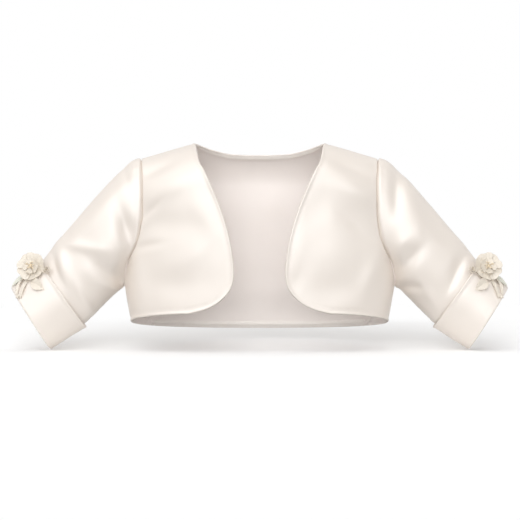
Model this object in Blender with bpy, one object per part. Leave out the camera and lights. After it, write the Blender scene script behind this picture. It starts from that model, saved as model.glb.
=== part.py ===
"""A child's satin bolero jacket, hollow and filled out as worn, in metres with +Z up.

The front faces -Y and +X is to the right in a view of the front. The origin lies midway between the two
neck ends of the shoulder seams. Each cut piece is a wall whose outer points come from one of three surfaces:
the body, a sleeve or a cuff. Lengths in the tables are millimetres.
"""

import math

import bmesh
import bpy
import numpy as np
from mathutils.geometry import delaunay_2d_cdt

MM = 0.001
SIDES = (("left", -1), ("right", 1))

# Cloth
BODY_WALL = 1.6
SLEEVE_WALL = 1.6
CUFF_WALL = 1.5
BAND_WALL = 0.9
SEAM_GAP = 0.3
SLEEVE_SET_BACK = 0.39
BODY_SPACING = 9.5
SHARP_DEGREES = 40

# The body's ring is a superellipse, rounded over at the shoulders
RING_EXPONENT = 2.35
RING_WIDTH = 135.0
RING_DEPTH = 52.0
SHOULDER_ROUND = 45.0
HALF_WIDTHS = (
    # height, half width
    (-190, 126.5),
    (-178.6, 128.6),
    (-165.5, 131.1),
    (-154, 133.2),
    (-146, 134.4),
    (-138, 135.0),
    (-60, 135.0),
    (10, 135.0),
)
HALF_DEPTHS = (
    # height, half depth
    (-190, 52.5),
    (-150, 53.5),
    (-110, 54.0),
    (-60, 52.5),
    (10, 50.0),
)
SHOULDER_RIDGE = (
    # distance from the middle, height
    (0, 5.0),
    (30, 4.2),
    (50, 2.6),
    (65, 0.0),
    (80, -4.1),
    (100, -10.0),
    (118.5, -15.5),
    (137, -21.0),
)

# Seams and edges of the body
SHOULDER_SEAM_FROM = 65.0
SHOULDER_SEAM_TO = 118.5
SHOULDER_STEPS = 6
ARMHOLE_STEPS = 32
SIDE_SEAM_STEP = 18
ARMHOLE_MIDDLE = -78.75
ARMHOLE_HALF_HEIGHT = 63.25
FRONT_ARMHOLE = (
    # distance from the middle, height
    (118.3, -18.0),
    (118.0, -26.0),
    (117.5, -36.0),
    (116.8, -53.0),
    (116.8, -66.0),
    (118.0, -79.4),
    (121.3, -96.0),
    (126.9, -109.0),
    (131.9, -121.0),
)
FRONT_UNDERARM = (
    # depth in front of the side, height
    (9.3, -132.0),
    (4.6, -139.0),
)
BACK_ARMHOLE = (
    # distance from the middle, height
    (118.6, -18.0),
    (118.8, -26.0),
    (119.0, -36.0),
    (119.4, -53.0),
    (120.0, -70.0),
    (121.6, -90.0),
    (124.2, -105.0),
    (127.8, -118.0),
)
BACK_UNDERARM = (
    # depth behind the side, height
    (15.0, -130.0),
    (7.5, -138.8),
)
SIDE_SEAM_AT_HEM = 108.0
SIDE_SEAM_STEPS = 5
FRONT_EDGE = (
    # distance from the middle, height
    (60.7, -15.0),
    (55.0, -27.0),
    (49.4, -39.0),
    (44.2, -51.0),
    (39.3, -63.0),
    (35.1, -75.0),
    (31.5, -87.0),
    (28.7, -99.0),
    (26.7, -111.0),
    (25.4, -123.0),
    (25.2, -133.0),
    (27.0, -142.5),
    (30.6, -149.0),
    (35.8, -155.0),
    (43.2, -160.8),
    (53.9, -166.1),
)
FRONT_HEM_FROM = 68.2
BACK_NECKLINE = (
    # distance from the middle, height
    (59.7, -1.0),
    (51.7, -3.9),
    (43.7, -6.2),
    (32.2, -8.9),
    (20.7, -9.8),
    (8.0, -10.3),
)
HEM_AT_SIDE = -178.6
FRONT_HEM_RISE = 0.18
BACK_HEM_FALL = 0.125
HEM_POINTS = 20
NECK_BAND_WIDTH = 6.0
HEM_BAND_WIDTH = 6.5
BAND_SET_BACK = 0.6

# The sleeve's rings, each an ellipse between a point on its upper edge and one on its lower edge
SLEEVE_TURNS = 32
SLEEVE_LENGTH_TOP = 137.6
SLEEVE_LENGTH_UNDER = 52.8
SLEEVE_CAP_SHARE = 0.36
SLEEVE_RINGS = (
    # share of the length, upper distance, upper height, lower distance, lower height, half depth
    (0.0, 118.5, -15.5, 135.1, -142.0, 31.0),
    (0.037, 123.6, -15.9, 136.7, -143.7, 32.0),
    (0.087, 129.8, -18.8, 138.7, -145.4, 33.0),
    (0.184, 139.6, -27.7, 142.6, -148.7, 34.0),
    (0.401, 160.1, -49.5, 151.0, -156.5, 33.0),
    (0.584, 176.7, -68.5, 157.8, -163.3, 30.5),
    (0.769, 193.3, -87.7, 164.7, -170.2, 27.5),
    (0.897, 204.9, -100.9, 169.5, -175.0, 25.5),
    (1.0, 213.0, -112.0, 173.2, -178.6, 24.4),
    (1.06, 218.6, -118.9, 175.9, -180.2, 23.9),
    (1.33, 245.1, -144.0, 207.6, -201.4, 22.4),
)
SLEEVE_ROWS = (0.0, 0.03, 0.07, 0.13, 0.21, 0.3, 0.4, 0.5, 0.6, 0.7, 0.8, 0.9, 1.0, 1.08, 1.2, 1.33)

# The largest folds of the sleeves, as a view of the front or of the back shows them. A ridge has a negative
# depth
SLEEVE_FOLDS = (
    # side, face, distance from the middle, height, angle from level, half length, half width, depth
    ("left", "front", 140.0, -80.0, 82, 17.0, 7.0, 2.1),
    ("left", "front", 152.0, -122.0, 46, 15.0, 6.5, 2.4),
    ("left", "front", 201.6, -118.5, 70, 13.0, 5.5, 2.2),
    ("left", "front", 190.0, -119.5, 80, 14.0, 6.0, -1.3),
    ("left", "front", 123.5, -52.0, 88, 32.0, 5.0, -1.2),
    ("left", "front", 133.6, -31.0, 77, 11.0, 5.0, 1.3),
    ("right", "front", 131.4, -46.5, 90, 24.0, 5.5, 1.9),
    ("right", "front", 147.4, -105.5, 36, 15.0, 5.5, 2.1),
    ("right", "front", 150.4, -122.5, 50, 16.0, 5.5, -1.4),
    ("right", "front", 149.4, -140.5, 2, 12.0, 4.5, 1.8),
    ("right", "front", 190.4, -126.5, 70, 18.0, 6.0, 2.4),
    ("right", "front", 203.4, -122.5, 75, 15.0, 5.0, -1.3),
    ("left", "back", 128.5, -52.0, 88, 25.0, 5.5, 1.4),
    ("left", "back", 146.0, -96.0, 60, 20.0, 7.0, 2.1),
    ("left", "back", 168.0, -102.0, 75, 18.0, 7.0, -1.2),
    ("left", "back", 192.0, -121.0, 65, 15.0, 6.0, 1.9),
    ("right", "back", 143.0, -86.0, 74, 20.0, 7.0, 2.1),
    ("right", "back", 161.0, -126.0, 36, 14.0, 5.5, 1.6),
    ("right", "back", 187.0, -117.0, 60, 17.0, 6.0, 2.0),
)
# They fade out toward the seam, toward the cuff and round the top and underside
FOLDS_FROM_SHARE = 0.07
FOLDS_TO_SHARE = 0.99
FOLDS_FADE_SHARE = 0.1
FOLDS_TURN_FADE = 1.2

# The cuff's outer side, from its free edge to the fold
CUFF_TURNS = 32
CUFF_DEPTH = 40.7
# Upper distance and height, lower distance and height, half depth
CUFF_FREE = (220.6, -116.5, 173.0, -183.4, 26.6)
CUFF_FOLD = (248.8, -144.0, 209.2, -206.0, 25.2)
CUFF_PROFILE = (
    # distance from the fold, distance inward from the outer side
    (40.7, 0.0),
    (30.0, 0.0),
    (19.0, 0.0),
    (9.0, 0.0),
    (2.2, 0.0),
    (0.6, 0.65),
    (0.0, 1.95),
    (0.6, 3.25),
    (2.8, 3.9),
    (2.8, 2.4),
    (1.7, 1.95),
    (2.6, CUFF_WALL),
    (9.0, CUFF_WALL),
    (19.0, CUFF_WALL),
    (30.0, CUFF_WALL),
    (40.7, CUFF_WALL),
)

# The ornament on the outer upper corner of each cuff. Places on the cuff are a distance from its free edge
# and an angle round it, and heights are from the cuff
FLOWER_ALONG = 9.6
FLOWER_TURN = 21.0
FLOWER_TILT = 20.0
FLOWER_LEAN = (0.62, 0.0, 0.78)
FLOWER_CLEARANCE = 0.9
PETALS = 5
POINTS_PER_PETAL = 8
RUFFLES_PER_PETAL = 2
PETAL_WALL = 0.9
NOTCH_DEPTH = 0.3
NOTCH_DIP = 0.8
CUP_POWER = 1.6
STALK_HOLE = 2.45
PETAL_RINGS = (
    # name, height, radius, rings of points, cup, ruffle, turn of the first notch in radians
    ("petals_outer", 5.6, 14.3, 4, 2.2, 0.75, 0.09),
    ("petals_inner", 8.2, 8.2, 3, 2.4, 0.4, 0.72),
)
STALK_SIDES = 10
STALK_PROFILE = (
    # radius, height
    (0.0, 0.0),
    (1.4, 0.0),
    (2.1, 2.5),
    (2.1, 9.0),
    (1.6, 10.2),
    (0.0, 10.7),
)
BUD_ALONG = -1.6
BUD_TURN = 49.5
BUD_SIDES = 12
BUD_PROFILE = (
    # radius, height
    (0.0, 0.0),
    (2.2, 0.0),
    (3.6, 1.6),
    (3.1, 3.4),
    (1.6, 4.4),
    (0.0, 4.6),
)
TRIM_GAP = 0.35
TRIM_WALL = 0.9
TRIM_SPACING = 3.8
LEAF_POINTS = 8
LEAF_STEM = 0.08
LEAF_FULLNESS = 0.8
LEAVES = (
    # name, half width, then along and turn at the root and at the tip
    ("leaf_front", 5.4, (19.0, 45.0), (12.5, 69.0)),
    ("leaf_outer", 5.4, (24.0, 14.0), (38.5, 9.0)),
)
RIBBONS = (
    # name, half width, then along and turn at the start, the middle and the end
    ("ribbon_upper", 2.1, (21.5, 24.0), (30.0, 30.0), (38.4, 44.0)),
    ("ribbon_lower", 2.0, (20.5, 36.0), (27.0, 42.0), (37.2, 54.0)),
)

# Scales that make a share of the sleeve, or an angle, about a millimetre of cloth, and the smallest distances
SHARE_SCALE = 100.0
TURN_SCALE = 33.0
NORMAL_STEP = 0.4
EDGE_CLEARANCE = 0.6
MIDDLE_CLEARANCE = 0.02
WELD = 1e-6


def smooth(table, at):
    """The value at each place, on a smooth curve through rows of place and value, level beyond its ends."""
    places, values = np.array(table, float).T
    rises = np.diff(values) / np.diff(places)
    product = rises[:-1] * rises[1:]
    total = np.where(product > 0, rises[:-1] + rises[1:], 1.0)
    inner = np.where(product > 0, 2 * product / total, 0.0)
    slopes = np.concatenate([rises[:1], inner, rises[-1:]])
    at = np.asarray(at, float)
    i = np.clip(np.searchsorted(places, at) - 1, 0, len(places) - 2)
    step = places[i + 1] - places[i]
    t = np.clip((at - places[i]) / step, 0, 1)
    first = values[i] * (1 + 2 * t) * (1 - t) ** 2 + step * slopes[i] * t * (1 - t) ** 2
    second = values[i + 1] * t * t * (3 - 2 * t) + step * slopes[i + 1] * t * t * (t - 1)
    return first + second


def ring_shape(angle):
    """Share of the half width and of the half depth at each angle, from the front's middle to the back's."""
    across, forward = np.sin(angle), np.cos(angle)
    power = 2 / RING_EXPONENT
    return np.abs(across) ** power, -np.sign(forward) * np.abs(forward) ** power


RING_ANGLES = np.linspace(0, math.pi, 1441)
RING_ACROSS, RING_BEHIND = ring_shape(RING_ANGLES)
RING_LENGTHS = np.concatenate(
    [[0.0], np.cumsum(np.hypot(RING_WIDTH * np.diff(RING_ACROSS), RING_DEPTH * np.diff(RING_BEHIND)))]
)
HALF_RING = RING_LENGTHS[-1]
QUARTER = SHOULDER_ROUND * math.pi / 2


def body(side, length, drop):
    """Points of the body at a length round the ring from the front's middle and a drop below the shoulder."""
    across, behind = ring_shape(np.interp(length, RING_LENGTHS, RING_ANGLES))
    rounded = np.abs(drop) < QUARTER
    turn = drop / SHOULDER_ROUND
    down = np.where(rounded, SHOULDER_ROUND * (1 - np.cos(turn)), SHOULDER_ROUND + drop - QUARTER)
    fullness = np.where(rounded, np.sin(turn), 1.0)
    height = smooth(SHOULDER_RIDGE, RING_WIDTH * across) - down
    x = side * smooth(HALF_WIDTHS, height) * across
    y = smooth(HALF_DEPTHS, height) * behind * fullness
    return np.stack([x, y, height], axis=-1)


def on_body(distance, height, behind=False):
    """Length and drop of a point that is given as a view of the front shows it."""
    across = np.minimum(np.asarray(distance, float) / smooth(HALF_WIDTHS, height), 1.0)
    angle = np.arcsin(across ** (RING_EXPONENT / 2))
    if behind:
        angle = math.pi - angle
    return by_angle(angle, height)


def by_depth(depth, height, behind=False):
    """Length and drop of a point near the side, given by its depth in front of or behind the side."""
    angle = np.arccos((np.asarray(depth, float) / smooth(HALF_DEPTHS, height)) ** (RING_EXPONENT / 2))
    if behind:
        angle = math.pi - angle
    return by_angle(angle, height)


def by_angle(angle, height):
    across, _ = ring_shape(angle)
    down = smooth(SHOULDER_RIDGE, RING_WIDTH * across) - height
    rounded = down < SHOULDER_ROUND
    curved = SHOULDER_ROUND * np.arccos(np.clip(1 - down / SHOULDER_ROUND, -1, 1))
    drop = np.where(rounded, curved, QUARTER + down - SHOULDER_ROUND)
    return np.stack([np.interp(angle, RING_ANGLES, RING_LENGTHS), drop], axis=-1)


def armhole_tables(upper, under, behind):
    """Tables of length and of drop by turn down one half of the armhole."""
    rows = [(0.0, *on_body(SHOULDER_SEAM_TO, float(smooth(SHOULDER_RIDGE, SHOULDER_SEAM_TO)), behind))]
    for distance, height in upper:
        rows.append((turn_at(height), *on_body(distance, height, behind)))
    for depth, height in under:
        rows.append((turn_at(height), *by_depth(depth, height, behind)))
    rows.append((math.pi, *by_angle(math.pi / 2, ARMHOLE_MIDDLE - ARMHOLE_HALF_HEIGHT)))
    return [(turn, length) for turn, length, _ in rows], [(turn, drop) for turn, _, drop in rows]


def turn_at(height):
    return math.acos((height - ARMHOLE_MIDDLE) / ARMHOLE_HALF_HEIGHT)


FRONT_TABLES = armhole_tables(FRONT_ARMHOLE, FRONT_UNDERARM, False)
BACK_TABLES = armhole_tables(BACK_ARMHOLE, BACK_UNDERARM, True)


def armhole(turn):
    """Length and drop at each turn: down the front from 0 to pi and up the back from pi to two pi."""
    turn = np.asarray(turn, float)
    down = np.minimum(turn, 2 * math.pi - turn)
    front = np.stack([smooth(table, down) for table in FRONT_TABLES], axis=-1)
    back = np.stack([smooth(table, down) for table in BACK_TABLES], axis=-1)
    return np.where((turn > math.pi)[..., None], back, front)


def hem_at(angle):
    """Length and drop of the hem at an angle round the ring. It is lower behind than in front."""
    _, behind = ring_shape(angle)
    depth = behind * smooth(HALF_DEPTHS, HEM_AT_SIDE)
    height = HEM_AT_SIDE + np.where(depth < 0, -FRONT_HEM_RISE * depth, -BACK_HEM_FALL * depth)
    return by_angle(angle, height)


def curve(points, spacing):
    """Points at an even spacing on a smooth curve through the given ones, with both ends kept."""
    points = np.asarray(points, float)
    before = np.vstack([2 * points[0] - points[1], points[:-2]])
    after = np.vstack([points[2:], 2 * points[-1] - points[-2]])
    fine = []
    for p0, p1, p2, p3 in zip(before, points[:-1], points[1:], after):
        for t in np.linspace(0, 1, 12, endpoint=False):
            bend = (2 * p0 - 5 * p1 + 4 * p2 - p3) * t * t + (3 * p1 - p0 - 3 * p2 + p3) * t**3
            fine.append(p1 + ((p2 - p0) * t + bend) / 2)
    fine.append(points[-1])
    fine = np.array(fine)
    run = np.concatenate([[0.0], np.cumsum(np.linalg.norm(np.diff(fine, axis=0), axis=1))])
    steps = max(1, round(run[-1] / spacing))
    at = np.linspace(0, run[-1], steps + 1)
    return np.stack([np.interp(at, run, fine[:, 0]), np.interp(at, run, fine[:, 1])], axis=-1)


def outline(*runs):
    """One closed outline from runs of points that follow each other, with the shared ends kept once."""
    return np.vstack([run[:-1] for run in runs])


def inset(polygon, by):
    """The outline moved inward by this much."""
    after = np.roll(polygon, -1, axis=0)
    area = np.sum(polygon[:, 0] * after[:, 1] - after[:, 0] * polygon[:, 1])
    edges = after - polygon
    edges /= np.linalg.norm(edges, axis=1)[:, None]
    inward = np.stack([-edges[:, 1], edges[:, 0]], axis=-1) * np.sign(area)
    previous = np.roll(inward, 1, axis=0)
    both = inward + previous
    return polygon + by * both / (1 + np.sum(inward * previous, axis=1))[:, None]


def inside(points, polygon):
    """Whether each point is in the outline, and its distance from it."""
    a, b = polygon, np.roll(polygon, -1, axis=0)
    x, y = points[:, :1], points[:, 1:]
    crosses = (a[:, 1] > y) != (b[:, 1] > y)
    rise = np.where(b[:, 1] == a[:, 1], 1e-9, b[:, 1] - a[:, 1])
    within = np.sum(crosses & (x < a[:, 0] + (y - a[:, 1]) * (b[:, 0] - a[:, 0]) / rise), axis=1) % 2 == 1
    edge = b - a
    along = (x - a[:, 0]) * edge[:, 0] + (y - a[:, 1]) * edge[:, 1]
    share = np.clip(along / np.sum(edge * edge, axis=1), 0, 1)
    gap = np.hypot(x - a[:, 0] - share * edge[:, 0], y - a[:, 1] - share * edge[:, 1]).min(axis=1)
    return within, gap


def fill(polygon, spacing):
    """Points and triangles that fill an outline, the outline's own points first."""
    low, high = polygon.min(axis=0), polygon.max(axis=0)
    rows = np.arange(low[1] + spacing / 2, high[1], spacing * math.sqrt(3) / 2)
    grid = []
    for i, row in enumerate(rows):
        shift = spacing * (0.25 + 0.5 * (i % 2))
        places = np.arange(low[0] + shift, high[0], spacing)
        grid.append(np.stack([places, np.full_like(places, row)], axis=-1))
    grid = np.vstack(grid) if grid else np.zeros((0, 2))
    within, gap = inside(grid, polygon)
    points = np.vstack([polygon, grid[within & (gap > EDGE_CLEARANCE * spacing)]])
    loop = [list(range(len(polygon)))]
    made = delaunay_2d_cdt([tuple(p) for p in points], [], loop, 1, 1e-6, False)
    points = np.array([tuple(p) for p in made[0]])
    faces = [tuple(face) for face in made[2]]
    kept, _ = inside(np.array([points[list(face)].mean(axis=0) for face in faces]), polygon)
    return points, [face for face, keep in zip(faces, kept) if keep]


def normals_of(place, points):
    """Unit normals of a surface that takes pairs of numbers to points."""
    ahead = place(points + (NORMAL_STEP, 0)) - place(points - (NORMAL_STEP, 0))
    beside = place(points + (0, NORMAL_STEP)) - place(points - (0, NORMAL_STEP))
    return unit(np.cross(ahead, beside))


def unit(vectors):
    vectors = np.asarray(vectors, float)
    return vectors / np.linalg.norm(vectors, axis=-1, keepdims=True)


def material(name, colour, roughness):
    found = bpy.data.materials.new(name)
    found.use_nodes = True
    shader = found.node_tree.nodes["Principled BSDF"]
    shader.inputs["Base Color"].default_value = (*colour, 1)
    shader.inputs["Roughness"].default_value = roughness
    return found


def add(name, points, faces, finish):
    """An object of these points in millimetres."""
    work = bmesh.new()
    verts = [work.verts.new(tuple(float(v) * MM for v in point)) for point in points]
    for face in faces:
        work.faces.new([verts[i] for i in face])
    keep(name, work, finish)


def keep(name, work, finish):
    """Turns the faces outward, shades them smooth and puts the object in the scene."""
    bmesh.ops.recalc_face_normals(work, faces=work.faces)
    if work.calc_volume(signed=True) < 0:
        bmesh.ops.reverse_faces(work, faces=work.faces)
    mesh = bpy.data.meshes.new(name)
    work.to_mesh(mesh)
    work.free()
    mesh.shade_smooth()
    mesh.set_sharp_from_angle(angle=math.radians(SHARP_DEGREES))
    mesh.materials.append(finish)
    COLLECTION.objects.link(bpy.data.objects.new(name, mesh))


def panel(name, polygon, place, outward, wall, finish, spacing=BODY_SPACING, lift=0.0):
    """A closed wall over an outline on a surface, lifted off it, with its inside a thickness further in."""
    flat, faces = fill(polygon, spacing)
    normal = normals_of(place, flat) * outward
    top = place(flat) + normal * lift
    base = top - normal * wall
    count = len(flat)
    edges = {(a, b) for face in faces for a, b in zip(face, face[1:] + face[:1])}
    rim = [(a, b) for a, b in edges if (b, a) not in edges]
    solid = list(faces)
    solid += [tuple(i + count for i in reversed(face)) for face in faces]
    solid += [(b, a, a + count, b + count) for a, b in sorted(rim)]
    add(name, np.vstack([top, base]), solid, finish)


def tube(name, rows, finish):
    """A closed ring-shaped solid from rows of points, where the last row meets the first."""
    turns = len(rows[0])
    faces = []
    for i in range(len(rows)):
        j = (i + 1) % len(rows)
        for k in range(turns):
            m = (k + 1) % turns
            faces.append((i * turns + k, i * turns + m, j * turns + m, j * turns + k))
    add(name, np.vstack(rows), faces, finish)


def ring_turns(count):
    return np.arange(count) * 2 * math.pi / count


def angle_of(distance, height):
    """The angle round the front half of the ring at a distance from the middle."""
    return float(np.arcsin((distance / smooth(HALF_WIDTHS, height)) ** (RING_EXPONENT / 2)))


def shoulder_seam(behind):
    """Length and drop along the shoulder seam, from its neck end."""
    distances = np.linspace(SHOULDER_SEAM_FROM, SHOULDER_SEAM_TO, SHOULDER_STEPS + 1)
    return on_body(distances, smooth(SHOULDER_RIDGE, distances), behind)


def side_seam():
    """Length and drop down the side seam, from the armhole to the hem."""
    start = armhole(ring_turns(ARMHOLE_STEPS)[SIDE_SEAM_STEP : SIDE_SEAM_STEP + 1])[0]
    end = hem_at(np.array([math.pi - angle_of(SIDE_SEAM_AT_HEM, HEM_AT_SIDE)]))[0]
    return start + (end - start) * np.linspace(0, 1, SIDE_SEAM_STEPS + 1)[:, None]


def hem_corner_angle():
    return float(np.interp(side_seam()[-1][0], RING_LENGTHS, RING_ANGLES))


def front_outline():
    """The outline of a front, in length and drop."""
    turns = ring_turns(ARMHOLE_STEPS)[: SIDE_SEAM_STEP + 1]
    hem_end = angle_of(FRONT_HEM_FROM, HEM_AT_SIDE)
    hem = hem_at(np.linspace(hem_corner_angle(), hem_end, HEM_POINTS))
    opening = np.array([on_body(distance, height) for distance, height in reversed(FRONT_EDGE)])
    shoulder = shoulder_seam(False)
    edge = np.vstack([hem, opening, shoulder[:1]])
    return outline(shoulder, armhole(turns), side_seam(), curve(edge, BODY_SPACING))


def back_side():
    """Half of the back's outline, from its neck end down to the hem's corner, in length and drop."""
    turns = np.append(ring_turns(ARMHOLE_STEPS), 2 * math.pi)[:SIDE_SEAM_STEP - 1 : -1]
    return outline(shoulder_seam(True), armhole(turns), side_seam())


def to_back(points, side):
    """Length and drop turned into a distance from the back's middle and a drop."""
    return np.stack([side * (HALF_RING - points[:, 0]), points[:, 1]], axis=-1)


def back(points):
    """Points of the body by distance from the back's middle and drop."""
    side = np.where(points[..., 0] < 0, -1.0, 1.0)
    return body(side, HALF_RING - np.abs(points[..., 0]), points[..., 1])


def from_left_to_right(half):
    """A run on the left half of the back, from its side to the middle, with its mirror image after it."""
    return np.vstack([to_back(half, -1), to_back(half[::-1], 1)])


def back_neckline():
    points = [on_body(SHOULDER_SEAM_FROM, 0.0, True)]
    points += [on_body(distance, height, True) for distance, height in BACK_NECKLINE]
    return from_left_to_right(np.array(points))


def back_hem():
    angles = np.linspace(hem_corner_angle(), math.pi - MIDDLE_CLEARANCE, HEM_POINTS)
    return from_left_to_right(hem_at(angles))


def back_outline():
    left, right = to_back(back_side(), -1), to_back(back_side(), 1)
    corner = to_back(side_seam()[-1:], 1)
    hem = back_hem()
    down = np.vstack([left, hem[:1]])
    up = np.vstack([corner, right[::-1]])
    return outline(down, curve(hem, BODY_SPACING), up, curve(back_neckline(), BODY_SPACING)[::-1])


def band(name, edge, width, into, finish):
    """A strip inside the back along one of its edges, on the side that the sign of into gives."""
    run = curve(edge, BODY_SPACING)[1:-1]
    near = run + (0, BAND_SET_BACK * into)
    far = run + (0, width * into)
    polygon = np.vstack([near, far[::-1]])
    panel(name, polygon, back, 1, BAND_WALL, finish, lift=-BODY_WALL - 2 * SEAM_GAP)


def between(upper_x, upper_z, lower_x, lower_z, up):
    """Distance from the middle and height of a ring's points, from its upper and its lower edge."""
    x = (upper_x + lower_x) / 2 + (upper_x - lower_x) / 2 * up
    z = (upper_z + lower_z) / 2 + (upper_z - lower_z) / 2 * up
    return x, z


def sleeve(side, share, turn):
    """Points of the sleeve at a share of its length and a turn that starts on top and goes forward."""
    table = np.array(SLEEVE_RINGS, float)
    upper_x, upper_z, lower_x, lower_z, depth = [
        smooth(np.stack([table[:, 0], table[:, i]], axis=-1), share) for i in range(1, 6)
    ]
    up, forward = np.cos(turn), np.sin(turn)
    x, z = between(upper_x, upper_z, lower_x, lower_z, up)
    ring = np.stack([side * x, -depth * forward, z], axis=-1)
    seam = armhole(turn % (2 * math.pi))
    start_x, start_z = between(*table[0, 1:5], up)
    start = np.stack([side * start_x, -table[0, 5] * forward, start_z], axis=-1)
    fade = np.clip(1 - share / SLEEVE_CAP_SHARE, 0, 1) ** 2
    plain = ring + (body(side, seam[..., 0], seam[..., 1]) - start) * fade[..., None]
    half = np.hypot(upper_x - lower_x, upper_z - lower_z) / 2
    facing_x, facing_z = (upper_x - lower_x) * up / half**2, (upper_z - lower_z) * up / half**2
    facing = unit(np.stack([side * facing_x, -2 * forward / depth, facing_z], axis=-1))
    return plain - facing * folds(side, plain, share, forward)[..., None]


def ease(value):
    value = np.clip(value, 0, 1)
    return value * value * (3 - 2 * value)


def folds(side, points, share, forward):
    """How deep the sleeve's folds press it in at each point."""
    total = np.zeros(points.shape[:-1])
    word = "left" if side < 0 else "right"
    for fold_side, face, distance, height, angle, half_length, half_width, depth in SLEEVE_FOLDS:
        if fold_side != word:
            continue
        away, rise = side * points[..., 0] - distance, points[..., 2] - height
        turn = math.radians(angle)
        along = (away * math.cos(turn) + rise * math.sin(turn)) / half_length
        across = (rise * math.cos(turn) - away * math.sin(turn)) / half_width
        toward = forward if face == "front" else -forward
        on_face = ease(0.5 + FOLDS_TURN_FADE * toward)
        total += depth * np.exp(-(along**2) - across**2) * on_face
    return total * ease(share / FOLDS_FROM_SHARE) * ease((FOLDS_TO_SHARE - share) / FOLDS_FADE_SHARE)


def seam_share(turn):
    """The share of the sleeve's length that the seam's gap takes at each turn."""
    length = SLEEVE_LENGTH_UNDER + (SLEEVE_LENGTH_TOP - SLEEVE_LENGTH_UNDER) * (1 + np.cos(turn)) / 2
    return SLEEVE_SET_BACK / length


def sleeve_wall(word, side, finish):
    turns = ring_turns(SLEEVE_TURNS)

    def place(points):
        return sleeve(side, points[..., 0] / SHARE_SCALE, points[..., 1] / TURN_SCALE)

    outer, inner = [], []
    for row in SLEEVE_ROWS:
        share = seam_share(turns) * (1 - row / SLEEVE_ROWS[-1]) + row
        flat = np.stack([share * SHARE_SCALE, turns * TURN_SCALE], axis=-1)
        points = place(flat)
        outer.append(points)
        inner.append(points + normals_of(place, flat) * side * SLEEVE_WALL)
    tube(f"sleeve_{word}", outer + inner[::-1], finish)


def cuff(side, along, turn, inward=0.0):
    """Points of the cuff at a distance from its free edge, at a turn as on the sleeve, moved inward."""
    share = np.asarray(along, float) / CUFF_DEPTH
    upper_x, upper_z, lower_x, lower_z, depth = [a + (b - a) * share for a, b in zip(CUFF_FREE, CUFF_FOLD)]
    half = np.hypot(upper_x - lower_x, upper_z - lower_z) / 2
    x, z = between(upper_x, upper_z, lower_x, lower_z, (half - inward) / half * np.cos(turn))
    y = -(depth - inward) * np.sin(turn)
    return np.stack([side * x, y, z], axis=-1)


def cuff_wall(word, side, finish):
    turns = ring_turns(CUFF_TURNS)
    rows = [cuff(side, CUFF_DEPTH - from_fold, turns, inward) for from_fold, inward in CUFF_PROFILE]
    tube(f"cuff_{word}", rows, finish)


def on_cuff(along, turn):
    """Distance from the cuff's free edge and distance round it."""
    return along, math.radians(turn) * TURN_SCALE


def cuff_place(side):
    """The function that takes such pairs to points."""

    def place(points):
        return cuff(side, points[..., 0], points[..., 1] / TURN_SCALE)

    return place


def spot_on_cuff(side, along, turn):
    """A point of the cuff and the direction that it faces."""
    flat = np.array([on_cuff(along, turn)])
    place = cuff_place(side)
    return place(flat)[0], -side * normals_of(place, flat)[0]


def across(facing, side):
    """Two directions across a flower or bud: toward the body, and up."""
    inward = unit(np.cross(facing, (0, 0, 1))) * side
    return inward, np.cross(inward, facing) * side


def petal_ring(name, centre, facing, side, row, finish):
    """A cut ring of petals, as one wall: its outline has a lobe for each petal and its edge is ruffled."""
    radius, rings, cup, ruffle, phase = row
    inward, up = across(facing, side)
    angles = ring_turns(PETALS * POINTS_PER_PETAL)
    notch = 0.5 + 0.5 * np.cos(PETALS * angles)
    rows = []
    for share in np.linspace(0, 1, rings + 1):
        r = (STALK_HOLE + (radius - STALK_HOLE) * share) * (1 - NOTCH_DEPTH * share**2 * notch**2)
        wave = ruffle * share**2 * np.cos(RUFFLES_PER_PETAL * PETALS * angles)
        rise = cup * share**CUP_POWER + wave - NOTCH_DIP * share * notch**3
        sideways, upward = r * np.cos(angles + phase), r * np.sin(angles + phase)
        rows.append(centre + np.outer(sideways, inward) + np.outer(upward, up) + np.outer(rise, facing))
    below = [ring - facing * PETAL_WALL for ring in rows]
    tube(name, rows + below[::-1], finish)


def turned(name, base, facing, side, profile, count, finish):
    """A small solid turned about the way that it faces, from rows of radius and height."""
    inward, _ = across(facing, side)
    work = bmesh.new()
    points = [base + inward * radius + facing * height for radius, height in profile]
    verts = [work.verts.new(tuple(point * MM)) for point in points]
    edges = [work.edges.new(pair) for pair in zip(verts, verts[1:])]
    axis = {"cent": tuple(base * MM), "axis": tuple(facing), "angle": 2 * math.pi}
    bmesh.ops.spin(work, geom=verts + edges, steps=count, use_merge=True, **axis)
    bmesh.ops.remove_doubles(work, verts=work.verts, dist=WELD)
    keep(name, work, finish)


def leaf_outline(root, tip, half_width):
    """A pointed leaf between two spots on the cuff."""
    root, tip = np.array(root, float), np.array(tip, float)
    way = tip - root
    beside = unit((-way[1], way[0]))
    share = np.linspace(0, 1, LEAF_POINTS)[:, None]
    stem = LEAF_STEM * (1 - share)
    width = half_width * (stem + (1 - LEAF_STEM) * np.sin(math.pi * share**LEAF_FULLNESS))
    one = root + way * share + beside * width
    other = root + way * share - beside * width
    return np.vstack([one, other[-2::-1]])


def ribbon_outline(half_width, stops):
    run = curve(stops, TRIM_SPACING)
    way = unit(np.gradient(run, axis=0))
    beside = np.stack([-way[:, 1], way[:, 0]], axis=-1) * half_width
    return np.vstack([run + beside, (run - beside)[::-1]])


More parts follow.
